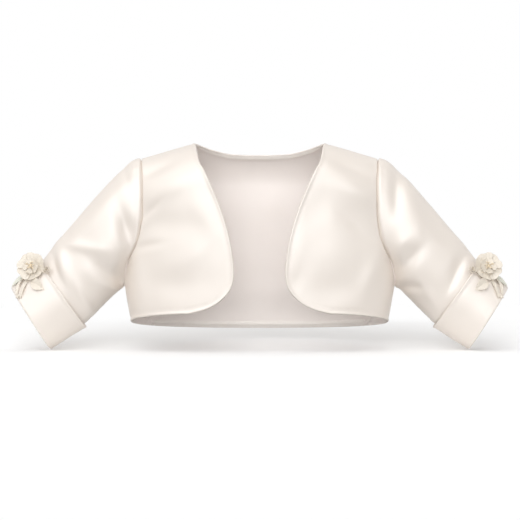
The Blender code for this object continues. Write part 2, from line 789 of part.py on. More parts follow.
def ornament(word, side):
    """The flower, its bud, two leaves and two ribbon tails on one cuff."""
    spot, normal = spot_on_cuff(side, FLOWER_ALONG, FLOWER_TURN)
    tilt = math.radians(FLOWER_TILT)
    facing = unit(math.sin(tilt) * np.array(FLOWER_LEAN) * (side, 1, 1) + (0, -math.cos(tilt), 0))
    base = spot + normal * FLOWER_CLEARANCE
    for name, height, *row in PETAL_RINGS:
        petal_ring(f"{name}_{word}", base + facing * height, facing, side, row, PETAL_CLOTH)
    turned(f"flower_centre_{word}", base, facing, side, STALK_PROFILE, STALK_SIDES, HEART)
    spot, normal = spot_on_cuff(side, BUD_ALONG, BUD_TURN)
    turned(f"bud_{word}", spot + normal * TRIM_GAP, normal, side, BUD_PROFILE, BUD_SIDES, PETAL_CLOTH)
    pieces = []
    for name, half_width, root, tip in LEAVES:
        pieces.append((name, leaf_outline(on_cuff(*root), on_cuff(*tip), half_width)))
    for name, half_width, *stops in RIBBONS:
        pieces.append((name, ribbon_outline(half_width, [on_cuff(*stop) for stop in stops])))
    for name, polygon in pieces:
        place = cuff_place(side)
        lift = TRIM_GAP + TRIM_WALL
        panel(f"{name}_{word}", polygon, place, -side, TRIM_WALL, PETAL_CLOTH, TRIM_SPACING, lift)


def front(word, side):
    """One front, on the body's surface."""

    def place(points):
        return body(side, points[..., 0], points[..., 1])

    panel(f"front_{word}", inset(front_outline(), SEAM_GAP / 2), place, -side, BODY_WALL, SATIN)


for old in list(bpy.data.objects):
    bpy.data.objects.remove(old, do_unlink=True)
COLLECTION = bpy.data.collections.new("bolero_jacket")
bpy.context.scene.collection.children.link(COLLECTION)
SATIN = material("satin", (0.86, 0.80, 0.73), 0.4)
PETAL_CLOTH = material("petal_cloth", (0.82, 0.75, 0.66), 0.6)
HEART = material("flower_centre", (0.62, 0.52, 0.38), 0.5)

for WORD, SIDE in SIDES:
    front(WORD, SIDE)
    sleeve_wall(WORD, SIDE, SATIN)
    cuff_wall(WORD, SIDE, SATIN)
    ornament(WORD, SIDE)
panel("back", inset(back_outline(), SEAM_GAP / 2), back, 1, BODY_WALL, SATIN)
band("back_neck_band", back_neckline(), NECK_BAND_WIDTH, 1, SATIN)
band("back_hem_band", back_hem(), HEM_BAND_WIDTH, -1, SATIN)
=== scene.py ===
"""The looks of a child's ivory satin bolero jacket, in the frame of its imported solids.

Each cloth piece is a thin shell on the surface that its solid has: the body, a sleeve or a cuff. Seams,
rolled edges and creases move its points in or out. Tables are in millimetres, and add() turns them into
metres. "left" is the side at -X, the left of the picture.
"""

import math

import bmesh
import bpy
import numpy as np
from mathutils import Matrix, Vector
from mathutils.geometry import delaunay_2d_cdt


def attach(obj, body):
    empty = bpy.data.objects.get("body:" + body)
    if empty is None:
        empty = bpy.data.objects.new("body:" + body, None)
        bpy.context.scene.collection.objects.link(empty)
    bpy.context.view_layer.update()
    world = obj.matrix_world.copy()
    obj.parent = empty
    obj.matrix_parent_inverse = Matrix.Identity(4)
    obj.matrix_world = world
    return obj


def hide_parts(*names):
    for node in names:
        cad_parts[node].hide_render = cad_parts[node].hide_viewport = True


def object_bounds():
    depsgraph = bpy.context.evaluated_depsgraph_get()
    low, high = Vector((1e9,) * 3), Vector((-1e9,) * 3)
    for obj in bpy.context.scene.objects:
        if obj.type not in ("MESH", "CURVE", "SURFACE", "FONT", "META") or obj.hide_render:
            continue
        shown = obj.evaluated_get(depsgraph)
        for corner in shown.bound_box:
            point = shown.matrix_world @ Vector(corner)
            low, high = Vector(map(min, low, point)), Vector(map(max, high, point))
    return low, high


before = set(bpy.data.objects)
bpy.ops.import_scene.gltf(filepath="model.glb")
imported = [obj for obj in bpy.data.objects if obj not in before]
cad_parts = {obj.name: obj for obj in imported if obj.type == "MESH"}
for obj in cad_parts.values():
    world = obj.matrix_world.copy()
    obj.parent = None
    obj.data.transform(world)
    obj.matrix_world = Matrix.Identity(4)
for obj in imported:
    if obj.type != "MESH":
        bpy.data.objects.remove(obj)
CAD_BOX = [list(corner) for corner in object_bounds()]

MM = 0.001
SIDES = (("left", -1), ("right", 1))

# The picture: 520 pixels across, a millimetre each in the plane of the side seams, seen level from in front
PICTURE_WIDTH = 520
PICTURE_MIDDLE_X = 0.4
PICTURE_MIDDLE_Z = -116.5
CAMERA_DISTANCE = 4200
SENSOR = 36

# The floor: how bright the camera sees it, how much light it throws back in the open, and the painted shade
# that makes it throw back less under and in front of the jacket
FLOOR_SEEN = 0.86
FLOOR_GLOW = 0.14
FLOOR_BRIGHT = 0.92
FLOOR_PAINTED_SHADE = 0.35
PAINTED_SHADE_UNDER_BODY = (
    # distance from the middle where the painted shade under the body ends, where it is deepest: across, then
    # deep
    (155, 115),
    (95, 50),
)
PAINTED_SHADE_IN_FRONT = (
    # depth where the painted shade in front ends, where it is deepest: toward the jacket, then toward the
    # camera
    (-60, -180),
    (-900, -480),
)
FLOOR_GAP = 1.2
FLOOR_HALF = 7000
FLOOR_ENDS = (-6500, 1600)
FLOOR_STEPS = 120
FLOOR_PROFILE = (
    # depth behind the jacket's middle, height above the floor's middle
    (-300, -8),
    (-120, -4.4),
    (-40, -2),
    (0, 0),
    (20, 2.6),
    (50, 9.5),
    (110, 17.5),
    (200, 24.5),
    (260, 25),
)

# The body's ring is a superellipse, rounded over at the shoulders
RING_EXPONENT = 2.35
RING_WIDTH = 135
RING_DEPTH = 52
SHOULDER_ROUND = 45
HALF_WIDTHS = (
    # height, half width
    (-190, 126.5),
    (-178.6, 128.6),
    (-165.5, 131.1),
    (-154, 133.2),
    (-146, 134.4),
    (-138, 135),
    (-60, 135),
    (10, 135),
)
HALF_DEPTHS = (
    # height, half depth
    (-190, 52.5),
    (-150, 53.5),
    (-110, 54),
    (-60, 52.5),
    (10, 50),
)
SHOULDER_RIDGE = (
    # distance from the middle, height
    (0, 5),
    (30, 4.2),
    (50, 2.6),
    (65, 0),
    (80, -4.1),
    (100, -10),
    (118.5, -15.5),
    (137, -21),
)

# Seams and edges of the body
SHOULDER_SEAM_FROM = 65
SHOULDER_SEAM_TO = 118.5
ARMHOLE_STEPS = 32
SIDE_SEAM_STEP = 18
ARMHOLE_MIDDLE = -78.75
ARMHOLE_HALF_HEIGHT = 63.25
FRONT_ARMHOLE = (
    # distance from the middle, height
    (118.3, -18),
    (118, -26),
    (117.5, -36),
    (116.8, -53),
    (116.8, -66),
    (118, -79.4),
    (121.3, -96),
    (126.9, -109),
    (131.9, -121),
)
FRONT_UNDERARM = (
    # depth in front of the side, height
    (9.3, -132),
    (4.6, -139),
)
BACK_ARMHOLE = (
    # distance from the middle, height
    (118.6, -18),
    (118.8, -26),
    (119, -36),
    (119.4, -53),
    (120, -70),
    (121.6, -90),
    (124.2, -105),
    (127.8, -118),
)
BACK_UNDERARM = (
    # depth behind the side, height
    (15, -130),
    (7.5, -138.8),
)
SIDE_SEAM_AT_HEM = 108
FRONT_EDGE = (
    # distance from the middle, height
    (60.7, -15),
    (55, -27),
    (49.4, -39),
    (44.2, -51),
    (39.3, -63),
    (35.1, -75),
    (31.5, -87),
    (28.7, -99),
    (26.7, -111),
    (25.4, -123),
    (25.2, -133),
    (27, -142.5),
    (30.6, -149),
    (35.8, -155),
    (43.2, -160.8),
    (53.9, -166.1),
)
FRONT_HEM_FROM = 68.2
BACK_NECKLINE = (
    # distance from the middle, height
    (59.7, -1),
    (51.7, -3.9),
    (43.7, -6.2),
    (32.2, -8.9),
    (20.7, -9.8),
    (8, -10.3),
)
HEM_AT_SIDE = -178.6
FRONT_HEM_RISE = 0.18
BACK_HEM_FALL = 0.125
HEM_POINTS = 40
NECK_BAND_WIDTH = 6
HEM_BAND_WIDTH = 6.5
BAND_INSET = 0.9
MIDDLE_CLEARANCE = 0.02

# The sleeve's rings, each an ellipse between a point on its upper edge and one on its lower edge
SLEEVE_LENGTH_TOP = 137.6
SLEEVE_LENGTH_UNDER = 52.8
SLEEVE_CAP_SHARE = 0.36
SLEEVE_END = 1.33
SLEEVE_RINGS = (
    # share of the length, upper distance, upper height, lower distance, lower height, half depth
    (0, 118.5, -15.5, 135.1, -142, 31),
    (0.037, 123.6, -15.9, 136.7, -143.7, 32),
    (0.087, 129.8, -18.8, 138.7, -145.4, 33),
    (0.184, 139.6, -27.7, 142.6, -148.7, 34),
    (0.401, 160.1, -49.5, 151, -156.5, 33),
    (0.584, 176.7, -68.5, 157.8, -163.3, 30.5),
    (0.769, 193.3, -87.7, 164.7, -170.2, 27.5),
    (0.897, 204.9, -100.9, 169.5, -175, 25.5),
    (1, 213, -112, 173.2, -178.6, 24.4),
    (1.06, 218.6, -118.9, 175.9, -180.2, 23.9),
    (1.33, 245.1, -144, 207.6, -201.4, 22.4),
)
CUFF_DEPTH = 40.7
# Upper distance and height, lower distance and height, half depth
CUFF_FREE = (220.6, -116.5, 173, -183.4, 26.6)
CUFF_FOLD = (248.8, -144, 209.2, -206, 25.2)
CUFF_FOLD_RADIUS = 1.95
CUFF_MARGIN = 1.5

# Cloth, and how fine the shells are
SHELL = 1.3
CUFF_SHELL = 1.4
BAND_SHELL = 0.5
BODY_SPACING = 2.3
EDGE_SPACING = 2
EDGE_ROWS = (0.18, 0.5, 1, 1.7, 2.7, 4)
EDGE_CLEARANCE = 0.6
SLEEVE_TURNS = 168
SLEEVE_ROWS = 118
CUFF_TURNS = 168
SEAM_BLEND = 2.2
ALLOWANCE_ROWS = (
    # distance under the panel, outer and inner distance from the body's surface
    (3.4, -2.1, -2.6),
    (1.6, -2.6, -3.1),
    (0, -2.5, -3.3),
)
SHARE_SCALE = 100
TURN_SCALE = 33
NORMAL_STEP = 0.4

# The flower on each cuff. Along is the distance from the cuff's free edge, turn goes from its top forward
FLOWER_ALONG = 9.6
FLOWER_TURN = 21
FLOWER_TILT = 20
FLOWER_LEAN = (0.62, 0, 0.78)
FLOWER_CLEARANCE = 0.9
PETAL_RINGS = (
    # name, height, length, half width, cup, flat size, petals as turn, share of the length, curl, ruffle
    ("petals_outer", 5.7, 12.2, 8.4, 2, (0.031, 0.031), (
        (5, 0.94, 1.1, 0.75),
        (77, 0.98, -0.5, 0.35),
        (149, 1, -0.7, 0.3),
        (221, 1, 0.3, 0.55),
        (293, 0.95, 1.4, 0.8),
    )),
    ("petals_inner", 8.1, 6, 4.3, 1.5, (0.018, 0.018), (
        (41, 0.95, 0.5, 0.35),
        (113, 1, 0.2, 0.25),
        (185, 0.95, 0.3, 0.3),
        (257, 1, 0.7, 0.4),
        (329, 1.05, 0.8, 0.45),
    )),
)
PETAL_OUTLINE = ((0.14, 0), (0.42, 0.16), (0.78, 0.4), (0.99, 0.66), (0.86, 0.88), (0.46, 1), (0, 0.965))
PETAL_SPACING = 0.75
PETAL_EDGE_ROWS = (0.16, 0.4)
PETAL_SHELL = 0.42
PETAL_ROOT = 2
PETAL_FAN = 3
PETAL_LAP = 1
PLEAT = 0.15
PLEATS = 22
RUFFLES = 7
STALK = (
    # height, radius
    (0.2, 1.9),
    (2, 1.8),
    (4, 1.1),
    (6.6, 1.5),
    (8.2, 1.9),
)
STAMENS = 8
STAMEN_FOOT = 8
STAMEN_RADIUS = 0.22
BUD_ALONG = -1.6
BUD_TURN = 49.5
BUD_GAP = 0.3
ROSE_START = 0.75
ROSE_GROWTH = 0.19
ROSE_TURNS = 2.2
ROSE_HEIGHT = 4.2
ROSE_SHELL = 0.36
ROSE_SPACING = 0.5
LEAF_SHELL = 0.42
LEAF_POINTS = 34
LEAF_STEM = 0.08
LEAF_GAP = 0.9
MIDRIB = (0.35, 0.45)
VEIN_DEPTH = 0.12
VEIN_SLANT = 0.55
VEIN_SPACING = 2.6
TRIM_SPACING = 0.8
LEAVES = (
    # name, half width, along and turn at the root and at the tip, rise of the edges, lift of the tip
    ("leaf_front", 5.6, (18.5, 44), (12, 70), 2.3, 1.2),
    ("leaf_outer", 5.6, (22, 17), (38.5, 15), 1.6, 0.8),
)
RIBBONS = (
    # name, half width, arch, twist, along and turn at the start, the middle and the end
    ("ribbon_upper", 2, 1.6, 0.5, (21.5, 24), (30, 30), (38.4, 44)),
    ("ribbon_lower", 1.9, 1.1, -0.4, (20.5, 36), (27, 42), (37.2, 54)),
)
KNOT_AT = (38.6, 50)

# Creases, as a view of the front or of the back shows them. A trough's depth is above 0, a ridge's below 0
BODY_CREASES = {
    # distance from the middle, height, angle from level, half length, half width, depth
    "front_left": (
        (103, -26, -26, 24, 5.5, 1.9),
        (86, -43, -30, 28, 9, -1.5),
        (108, -67, -48, 14, 4, 1.4),
        (112, -77, -44, 13, 4.5, -1),
        (110, -102, -12, 14, 4, 1.2),
        (90, -82, 6, 26, 14, 1.6),
        (84, -142, 2, 38, 14, 1.3),
        (119, -142, 84, 28, 8, -2.2),
        (54, -72, 62, 24, 11, -1.2),
        (66, -112, -40, 20, 10, -0.9),
    ),
    "front_right": (
        (92, -25, -24, 28, 5.5, 1.9),
        (92, -45, -38, 28, 9, -1.8),
        (95, -79, -46, 26, 9.5, 2.3),
        (56, -66, 62, 24, 14, 1.1),
        (42, -100, 78, 20, 9, -0.5),
        (112, -130, 70, 24, 9, -2.2),
        (74, -145, 4, 32, 14, 1.2),
        (36, -138, 58, 14, 8, 0.9),
        (76, -112, -30, 24, 13, -0.5),
    ),
    "back": (
        (-92, -30, 20, 24, 7, 1),
        (90, -28, -22, 24, 7, 1),
        (-104, -86, 44, 20, 8, 1.3),
        (102, -80, -40, 20, 8, 1.3),
        (-18, -60, 84, 40, 14, -0.9),
        (24, -92, 96, 44, 16, -0.9),
        (-60, -120, 100, 40, 16, -1),
        (70, -136, 82, 34, 15, -1),
        (4, -150, 0, 60, 14, 0.9),
    ),
}
SLEEVE_CREASES = {
    # distance from the middle, height, angle from level, half length, half width, depth
    ("left", "front"): (
        (133.5, -83, 74, 20, 7.5, 5),
        (150, -129, 36, 19, 8, 4.4),
        (196.5, -120, 76, 15, 6.5, -3.2),
        (204, -118.5, 78, 13, 4.5, 1.6),
        (133.6, -31, 77, 12, 5, 1.8),
        (149.6, -143, 14, 13, 3.4, -1.3),
        (178, -103, 8, 22, 5, -1.8),
        (160, -70, -46, 46, 8.5, -2.2),
        (175, -154, 60, 17, 5, -1.5),
    ),
    ("right", "front"): (
        (136.5, -49, 87, 26, 7, 4),
        (142, -99, 40, 16, 6, -1.1),
        (149, -115.5, 44, 17, 7, 3.4),
        (149.4, -144, 2, 13, 4.8, 2.8),
        (198, -127, 68, 19, 7.5, 3.4),
        (152, -58, -80, 32, 9, -1.4),
        (176, -84, -48, 26, 7, 1.8),
        (170, -152, -54, 18, 5.5, -1.6),
    ),
    ("left", "back"): (
        (128.5, -52, 88, 25, 5.5, 1.4),
        (146, -96, 60, 20, 7, 2.1),
        (168, -102, 75, 18, 7, -1.2),
        (192, -121, 65, 15, 6, 1.9),
        (152, -140, 14, 13, 4, 1.2),
    ),
    ("right", "back"): (
        (143, -86, 74, 20, 7, 2.1),
        (161, -126, 36, 14, 5.5, 1.6),
        (187, -117, 60, 17, 6, 2),
        (150, -144, 8, 13, 4, 1.2),
    ),
}
FOLDS_FROM_SHARE = 0.05
FOLDS_TO_SHARE = 1.02
FOLDS_FADE_SHARE = 0.08
FOLDS_TURN_FADE = 1.2

# Ridges and grooves along a seam or an edge, as height, distance from it and half width
SEAM_RIDGES = ((-1.5, 0, 0.6), (0.22, 2, 1.6))
EDGE_RIDGES = ((0.5, 1.3, 1.2), (-0.35, 3.9, 1.6), (-0.3, 0, 0.8))
SLEEVE_SEAM_RIDGES = ((0.75, 1.8, 2.6), (-2.3, 0, 0.62))
CUFF_EDGE_RIDGES = ((0.45, 1, 1.3), (-0.16, 4, 1.8))


def smooth(table, at):
    """The value at each place, on a smooth curve through rows of place and value, level beyond its ends."""
    places, values = np.array(table, float).T
    rises = np.diff(values) / np.diff(places)
    product = rises[:-1] * rises[1:]
    total = np.where(product > 0, rises[:-1] + rises[1:], 1.0)
    inner = np.where(product > 0, 2 * product / total, 0.0)
    slopes = np.concatenate([rises[:1], inner, rises[-1:]])
    at = np.asarray(at, float)
    i = np.clip(np.searchsorted(places, at) - 1, 0, len(places) - 2)
    step = places[i + 1] - places[i]
    t = np.clip((at - places[i]) / step, 0, 1)
    first = values[i] * (1 + 2 * t) * (1 - t) ** 2 + step * slopes[i] * t * (1 - t) ** 2
    second = values[i + 1] * t * t * (3 - 2 * t) + step * slopes[i + 1] * t * t * (t - 1)
    return first + second


def ease(value):
    value = np.clip(value, 0, 1)
    return value * value * (3 - 2 * value)


def bump(distance, width):
    return np.exp(-((distance / width) ** 2))


def ridges(rows, distance):
    """How far the ridges and grooves along a seam or an edge move the cloth out."""
    return sum(height * bump(distance - at, width) for height, at, width in rows)


def unit(vectors):
    vectors = np.asarray(vectors, float)
    return vectors / np.linalg.norm(vectors, axis=-1, keepdims=True)


def ring_shape(angle):
    """Share of the half width and of the half depth at each angle, from the front's middle to the back's."""
    across, forward = np.sin(angle), np.cos(angle)
    power = 2 / RING_EXPONENT
    return np.abs(across) ** power, -np.sign(forward) * np.abs(forward) ** power


RING_ANGLES = np.linspace(0, math.pi, 2881)
RING_ACROSS, RING_BEHIND = ring_shape(RING_ANGLES)
RING_LENGTHS = np.concatenate(
    [[0.0], np.cumsum(np.hypot(RING_WIDTH * np.diff(RING_ACROSS), RING_DEPTH * np.diff(RING_BEHIND)))]
)
HALF_RING = RING_LENGTHS[-1]
QUARTER = SHOULDER_ROUND * math.pi / 2


def body(side, length, drop):
    """Points of the body at a length round the ring from the front's middle and a drop below the shoulder."""
    across, behind = ring_shape(np.interp(length, RING_LENGTHS, RING_ANGLES))
    rounded = np.abs(drop) < QUARTER
    turn = drop / SHOULDER_ROUND
    down = np.where(rounded, SHOULDER_ROUND * (1 - np.cos(turn)), SHOULDER_ROUND + drop - QUARTER)
    fullness = np.where(rounded, np.sin(turn), 1.0)
    height = smooth(SHOULDER_RIDGE, RING_WIDTH * across) - down
    x = side * smooth(HALF_WIDTHS, height) * across
    y = smooth(HALF_DEPTHS, height) * behind * fullness
    return np.stack([x, y, height], axis=-1)


def by_angle(angle, height):
    """Length and drop of a point at an angle round the ring."""
    across, _ = ring_shape(angle)
    down = smooth(SHOULDER_RIDGE, RING_WIDTH * across) - height
    rounded = down < SHOULDER_ROUND
    curved = SHOULDER_ROUND * np.arccos(np.clip(1 - down / SHOULDER_ROUND, -1, 1))
    drop = np.where(rounded, curved, QUARTER + down - SHOULDER_ROUND)
    return np.stack([np.interp(angle, RING_ANGLES, RING_LENGTHS), drop], axis=-1)


def on_body(distance, height, behind=False):
    """Length and drop of a point that is given as a view of the front shows it."""
    across = np.minimum(np.asarray(distance, float) / smooth(HALF_WIDTHS, height), 1.0)
    angle = np.arcsin(across ** (RING_EXPONENT / 2))
    return by_angle(math.pi - angle if behind else angle, height)


def by_depth(depth, height, behind=False):
    """Length and drop of a point near the side, given by its depth in front of or behind the side."""
    angle = np.arccos((np.asarray(depth, float) / smooth(HALF_DEPTHS, height)) ** (RING_EXPONENT / 2))
    return by_angle(math.pi - angle if behind else angle, height)


def turn_at(height):
    return math.acos((height - ARMHOLE_MIDDLE) / ARMHOLE_HALF_HEIGHT)


def armhole_tables(upper, under, behind):
    """Tables of length and of drop by turn down one half of the armhole."""
    rows = [(0.0, *on_body(SHOULDER_SEAM_TO, float(smooth(SHOULDER_RIDGE, SHOULDER_SEAM_TO)), behind))]
    for distance, height in upper:
        rows.append((turn_at(height), *on_body(distance, height, behind)))
    for depth, height in under:
        rows.append((turn_at(height), *by_depth(depth, height, behind)))
    rows.append((math.pi, *by_angle(math.pi / 2, ARMHOLE_MIDDLE - ARMHOLE_HALF_HEIGHT)))
    return [(turn, length) for turn, length, _ in rows], [(turn, drop) for turn, _, drop in rows]


FRONT_TABLES = armhole_tables(FRONT_ARMHOLE, FRONT_UNDERARM, False)
BACK_TABLES = armhole_tables(BACK_ARMHOLE, BACK_UNDERARM, True)


def armhole(turn):
    """Length and drop at each turn: down the front from 0 to pi and up the back from pi to two pi."""
    turn = np.asarray(turn, float)
    down = np.minimum(turn, 2 * math.pi - turn)
    front = np.stack([smooth(table, down) for table in FRONT_TABLES], axis=-1)
    back = np.stack([smooth(table, down) for table in BACK_TABLES], axis=-1)
    return np.where((turn > math.pi)[..., None], back, front)


def hem_at(angle):
    """Length and drop of the hem at an angle round the ring. It is lower behind than in front."""
    _, behind = ring_shape(angle)
    depth = behind * smooth(HALF_DEPTHS, HEM_AT_SIDE)
    height = HEM_AT_SIDE + np.where(depth < 0, -FRONT_HEM_RISE * depth, -BACK_HEM_FALL * depth)
    return by_angle(angle, height)


def curve(points, spacing):
    """Points at an even spacing on a smooth curve through the given ones, with both ends kept."""
    points = np.asarray(points, float)
    before = np.vstack([2 * points[0] - points[1], points[:-2]])
    after = np.vstack([points[2:], 2 * points[-1] - points[-2]])
    fine = []
    for p0, p1, p2, p3 in zip(before, points[:-1], points[1:], after):
        for t in np.linspace(0, 1, 12, endpoint=False):
            bend = (2 * p0 - 5 * p1 + 4 * p2 - p3) * t * t + (3 * p1 - p0 - 3 * p2 + p3) * t**3
            fine.append(p1 + ((p2 - p0) * t + bend) / 2)
    fine.append(points[-1])
    fine = np.array(fine)
    run = np.concatenate([[0.0], np.cumsum(np.linalg.norm(np.diff(fine, axis=0), axis=1))])
    steps = max(1, round(run[-1] / spacing))
    at = np.linspace(0, run[-1], steps + 1)
    return np.stack([np.interp(at, run, fine[:, i]) for i in range(fine.shape[1])], axis=-1)


def inset(polygon, by):
    """The outline moved inward by this much."""
    after = np.roll(polygon, -1, axis=0)
    area = np.sum(polygon[:, 0] * after[:, 1] - after[:, 0] * polygon[:, 1])
    edges = unit(after - polygon)
    inward = np.stack([-edges[:, 1], edges[:, 0]], axis=-1) * np.sign(area)
    previous = np.roll(inward, 1, axis=0)
    both = inward + previous
    return polygon + by * both / (1 + np.sum(inward * previous, axis=1))[:, None]


def gap_to(points, run, closed=False):
    """Distance from each point to a run of points."""
    a, b = (run, np.roll(run, -1, axis=0)) if closed else (run[:-1], run[1:])
    edge = b - a
    square = np.sum(edge * edge, axis=1)
    least = np.full(len(points), np.inf)
    for start in range(0, len(points), 2000):
        block = points[start : start + 2000]
        x, y = block[:, :1] - a[:, 0], block[:, 1:] - a[:, 1]
        share = np.clip((x * edge[:, 0] + y * edge[:, 1]) / square, 0, 1)
        gap = np.hypot(x - share * edge[:, 0], y - share * edge[:, 1])
        least[start : start + 2000] = gap.min(axis=1)
    return least


def within(points, polygon):
    """Whether each point is in the outline."""
    a, b = polygon, np.roll(polygon, -1, axis=0)
    x, y = points[:, :1], points[:, 1:]
    crosses = (a[:, 1] > y) != (b[:, 1] > y)
    rise = np.where(b[:, 1] == a[:, 1], 1e-9, b[:, 1] - a[:, 1])
    return np.sum(crosses & (x < a[:, 0] + (y - a[:, 1]) * (b[:, 0] - a[:, 0]) / rise), axis=1) % 2 == 1


def fill(polygon, spacing, rows):
    """Points and triangles that fill an outline: its own points, rows of them further in, and a grid."""
    low, high = polygon.min(axis=0), polygon.max(axis=0)
    grid = []
    for i, row in enumerate(np.arange(low[1], high[1], spacing * math.sqrt(3) / 2)):
        places = np.arange(low[0] + spacing * (0.25 + 0.5 * (i % 2)), high[0], spacing)
        grid.append(np.stack([places, np.full_like(places, row)], axis=-1))
    grid = np.vstack(grid)
    grid = grid[within(grid, polygon)]
    grid = grid[gap_to(grid, polygon, True) > rows[-1] + EDGE_CLEARANCE * spacing]
    extra = []
    for by in rows:
        row = inset(polygon, by)
        row = row[within(row, polygon)]
        extra.append(row[gap_to(row, polygon, True) > 0.93 * by])
    points = np.vstack([polygon, *extra, grid])
    loop = [list(range(len(polygon)))]
    made = delaunay_2d_cdt([tuple(p) for p in points], [], loop, 1, 1e-5, False)
    points = np.array([tuple(p) for p in made[0]])
    faces = np.array([tuple(face) for face in made[2]])
    kept = within(points[faces].mean(axis=1), polygon)
    return points, faces[kept]


def normals_of(place, points):
    """Unit normals of a surface that takes pairs of numbers to points."""
    ahead = place(points + (NORMAL_STEP, 0)) - place(points - (NORMAL_STEP, 0))
    beside = place(points + (0, NORMAL_STEP)) - place(points - (0, NORMAL_STEP))
    return unit(np.cross(ahead, beside))


def unevenness(points):
    """Slight waviness that all pressed satin has, the same on every run."""
    total = np.zeros(points.shape[:-1])
    for i in range(9):
        turn = 2.39996 * i
        way = np.array([math.cos(turn), 0.7 * math.sin(1.7 * i), math.sin(turn)])
        length = 17.0 + 5.5 * i
        total += np.sin(points @ way * 2 * math.pi / length + 1.3 * i * i) * length / 60
    return 0.075 * total


def creases(rows, distance, height):
    """How deep the creases press the cloth in."""
    total = np.zeros(distance.shape)
    for at, up, angle, half_length, half_width, depth in rows:
        away, rise = distance - at, height - up
        turn = math.radians(angle)
        along = (away * math.cos(turn) + rise * math.sin(turn)) / half_length
        across = (rise * math.cos(turn) - away * math.sin(turn)) / half_width
        total += depth * np.exp(-(along**2) - across**2)
    return total


def add(name, points, faces, material, slot, lining=None):
    """A smooth object of these points in millimetres that rides on the body and takes the given material.

    Where there is a lining, it is on the second half of the faces. The slot is not used.
    """
    mesh = bpy.data.meshes.new(name)
    mesh.from_pydata((np.asarray(points) * MM).tolist(), [], [list(map(int, face)) for face in faces])
    work = bmesh.new()
    work.from_mesh(mesh)
    bmesh.ops.recalc_face_normals(work, faces=work.faces)
    if work.calc_volume(signed=True) < 0:
        bmesh.ops.reverse_faces(work, faces=work.faces)
    work.to_mesh(mesh)
    work.free()
    mesh.shade_smooth()
    mesh.materials.append(material)
    if lining:
        mesh.materials.append(lining)
        for face in mesh.polygons[len(mesh.polygons) // 2 :]:
            face.material_index = 1
    made = bpy.data.objects.new(name, mesh)
    bpy.context.scene.collection.objects.link(made)
    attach(made, "root")
    return made


def patch(polygon, place, outward, thickness, relief, spacing=BODY_SPACING, rows=EDGE_ROWS):
    """Points and faces of a closed shell over an outline on a surface, moved out by what relief gives."""
    flat, faces = fill(polygon, spacing, rows)
    count, rim = len(flat), len(polygon)
    normal = normals_of(place, flat) * outward
    base = place(flat)
    gap = gap_to(flat, polygon, True)
    half = thickness / 2
    roundness = np.sqrt(1 - (1 - np.clip(gap / half, 0, 1)) ** 2)[:, None]
    middle = base + normal * (relief(flat, base, gap) - half)[:, None]
    top = middle + normal * half * roundness
    under = (middle - normal * half * roundness)[rim:]
    below = np.where(faces < rim, faces, faces + count - rim)[:, ::-1]
    return np.vstack([top, under]), np.vstack([faces, below])


def level(flat, base, gap):
    """The relief of a piece whose points stay where they are."""
    return np.zeros(len(flat))


def joined_patches(parts):
    """One list of points and one of faces from several."""
    points, faces, start = [], [], 0
    for part_points, part_faces in parts:
        points.append(part_points)
        faces += [[int(i) + start for i in face] for face in part_faces]
        start += len(part_points)
    return np.vstack(points), faces


def tube(name, rows, material, slot, lining=None):
    """A closed ring-shaped solid from rows of points, where the last row meets the first."""
    turns = len(rows[0])
    k = np.arange(turns)
    m = (k + 1) % turns
    faces = []
    for i in range(len(rows)):
        j = (i + 1) % len(rows)
        faces.append(np.stack([i * turns + k, i * turns + m, j * turns + m, j * turns + k], axis=-1))
    return add(name, np.vstack(rows), np.vstack(faces), material, slot, lining)


def ring_turns(count):
    return np.arange(count) * 2 * math.pi / count


def angle_of(distance, height):
    return float(np.arcsin((distance / smooth(HALF_WIDTHS, height)) ** (RING_EXPONENT / 2)))


def shoulder_seam(behind):
    """Length and drop along the shoulder seam, from its neck end."""
    distances = np.linspace(SHOULDER_SEAM_FROM, SHOULDER_SEAM_TO, 28)
    return on_body(distances, smooth(SHOULDER_RIDGE, distances), behind)


def armhole_run(turns):
    """Length and drop along the armhole, at an even spacing."""
    return curve(armhole(turns), EDGE_SPACING)


def side_seam():
    """Length and drop down the side seam, from the armhole to the hem."""
    start = armhole(ring_turns(ARMHOLE_STEPS)[SIDE_SEAM_STEP : SIDE_SEAM_STEP + 1])[0]
    end = hem_at(np.array([math.pi - angle_of(SIDE_SEAM_AT_HEM, HEM_AT_SIDE)]))[0]
    return start + (end - start) * np.linspace(0, 1, 20)[:, None]


def hem_corner_angle():
    return float(np.interp(side_seam()[-1][0], RING_LENGTHS, RING_ANGLES))


def front_runs():
    """The runs of a front's outline, in length and drop, each as its kind and its points."""
    turns = ring_turns(ARMHOLE_STEPS)[: SIDE_SEAM_STEP + 1]
    hem_end = angle_of(FRONT_HEM_FROM, HEM_AT_SIDE)
    hem = hem_at(np.linspace(hem_corner_angle(), hem_end, HEM_POINTS))
    opening = np.array([on_body(distance, height) for distance, height in reversed(FRONT_EDGE)])
    shoulder = shoulder_seam(False)
    edge = np.vstack([hem, opening, shoulder[:1]])
    return (
        ("seam", shoulder),
        ("seam", armhole_run(turns)),
        ("seam", side_seam()),
        ("edge", curve(edge, EDGE_SPACING)),
    )


def to_back(points, side):
    """Length and drop turned into a distance from the back's middle and a drop."""
    return np.stack([side * (HALF_RING - points[:, 0]), points[:, 1]], axis=-1)


def back(points):
    """Points of the body by distance from the back's middle and drop."""
    side = np.where(points[..., 0] < 0, -1.0, 1.0)
    return body(side, HALF_RING - np.abs(points[..., 0]), points[..., 1])


def from_left_to_right(half):
    """A run on the left half of the back, from its side to the middle, with its mirror image after it."""
    return np.vstack([to_back(half, -1), to_back(half[::-1], 1)])


def back_neckline():
    points = [on_body(SHOULDER_SEAM_FROM, 0.0, True)]
    points += [on_body(distance, height, True) for distance, height in BACK_NECKLINE]
    return from_left_to_right(np.array(points))


def back_hem():
    angles = np.linspace(hem_corner_angle(), math.pi - MIDDLE_CLEARANCE, HEM_POINTS)
    return from_left_to_right(hem_at(angles))


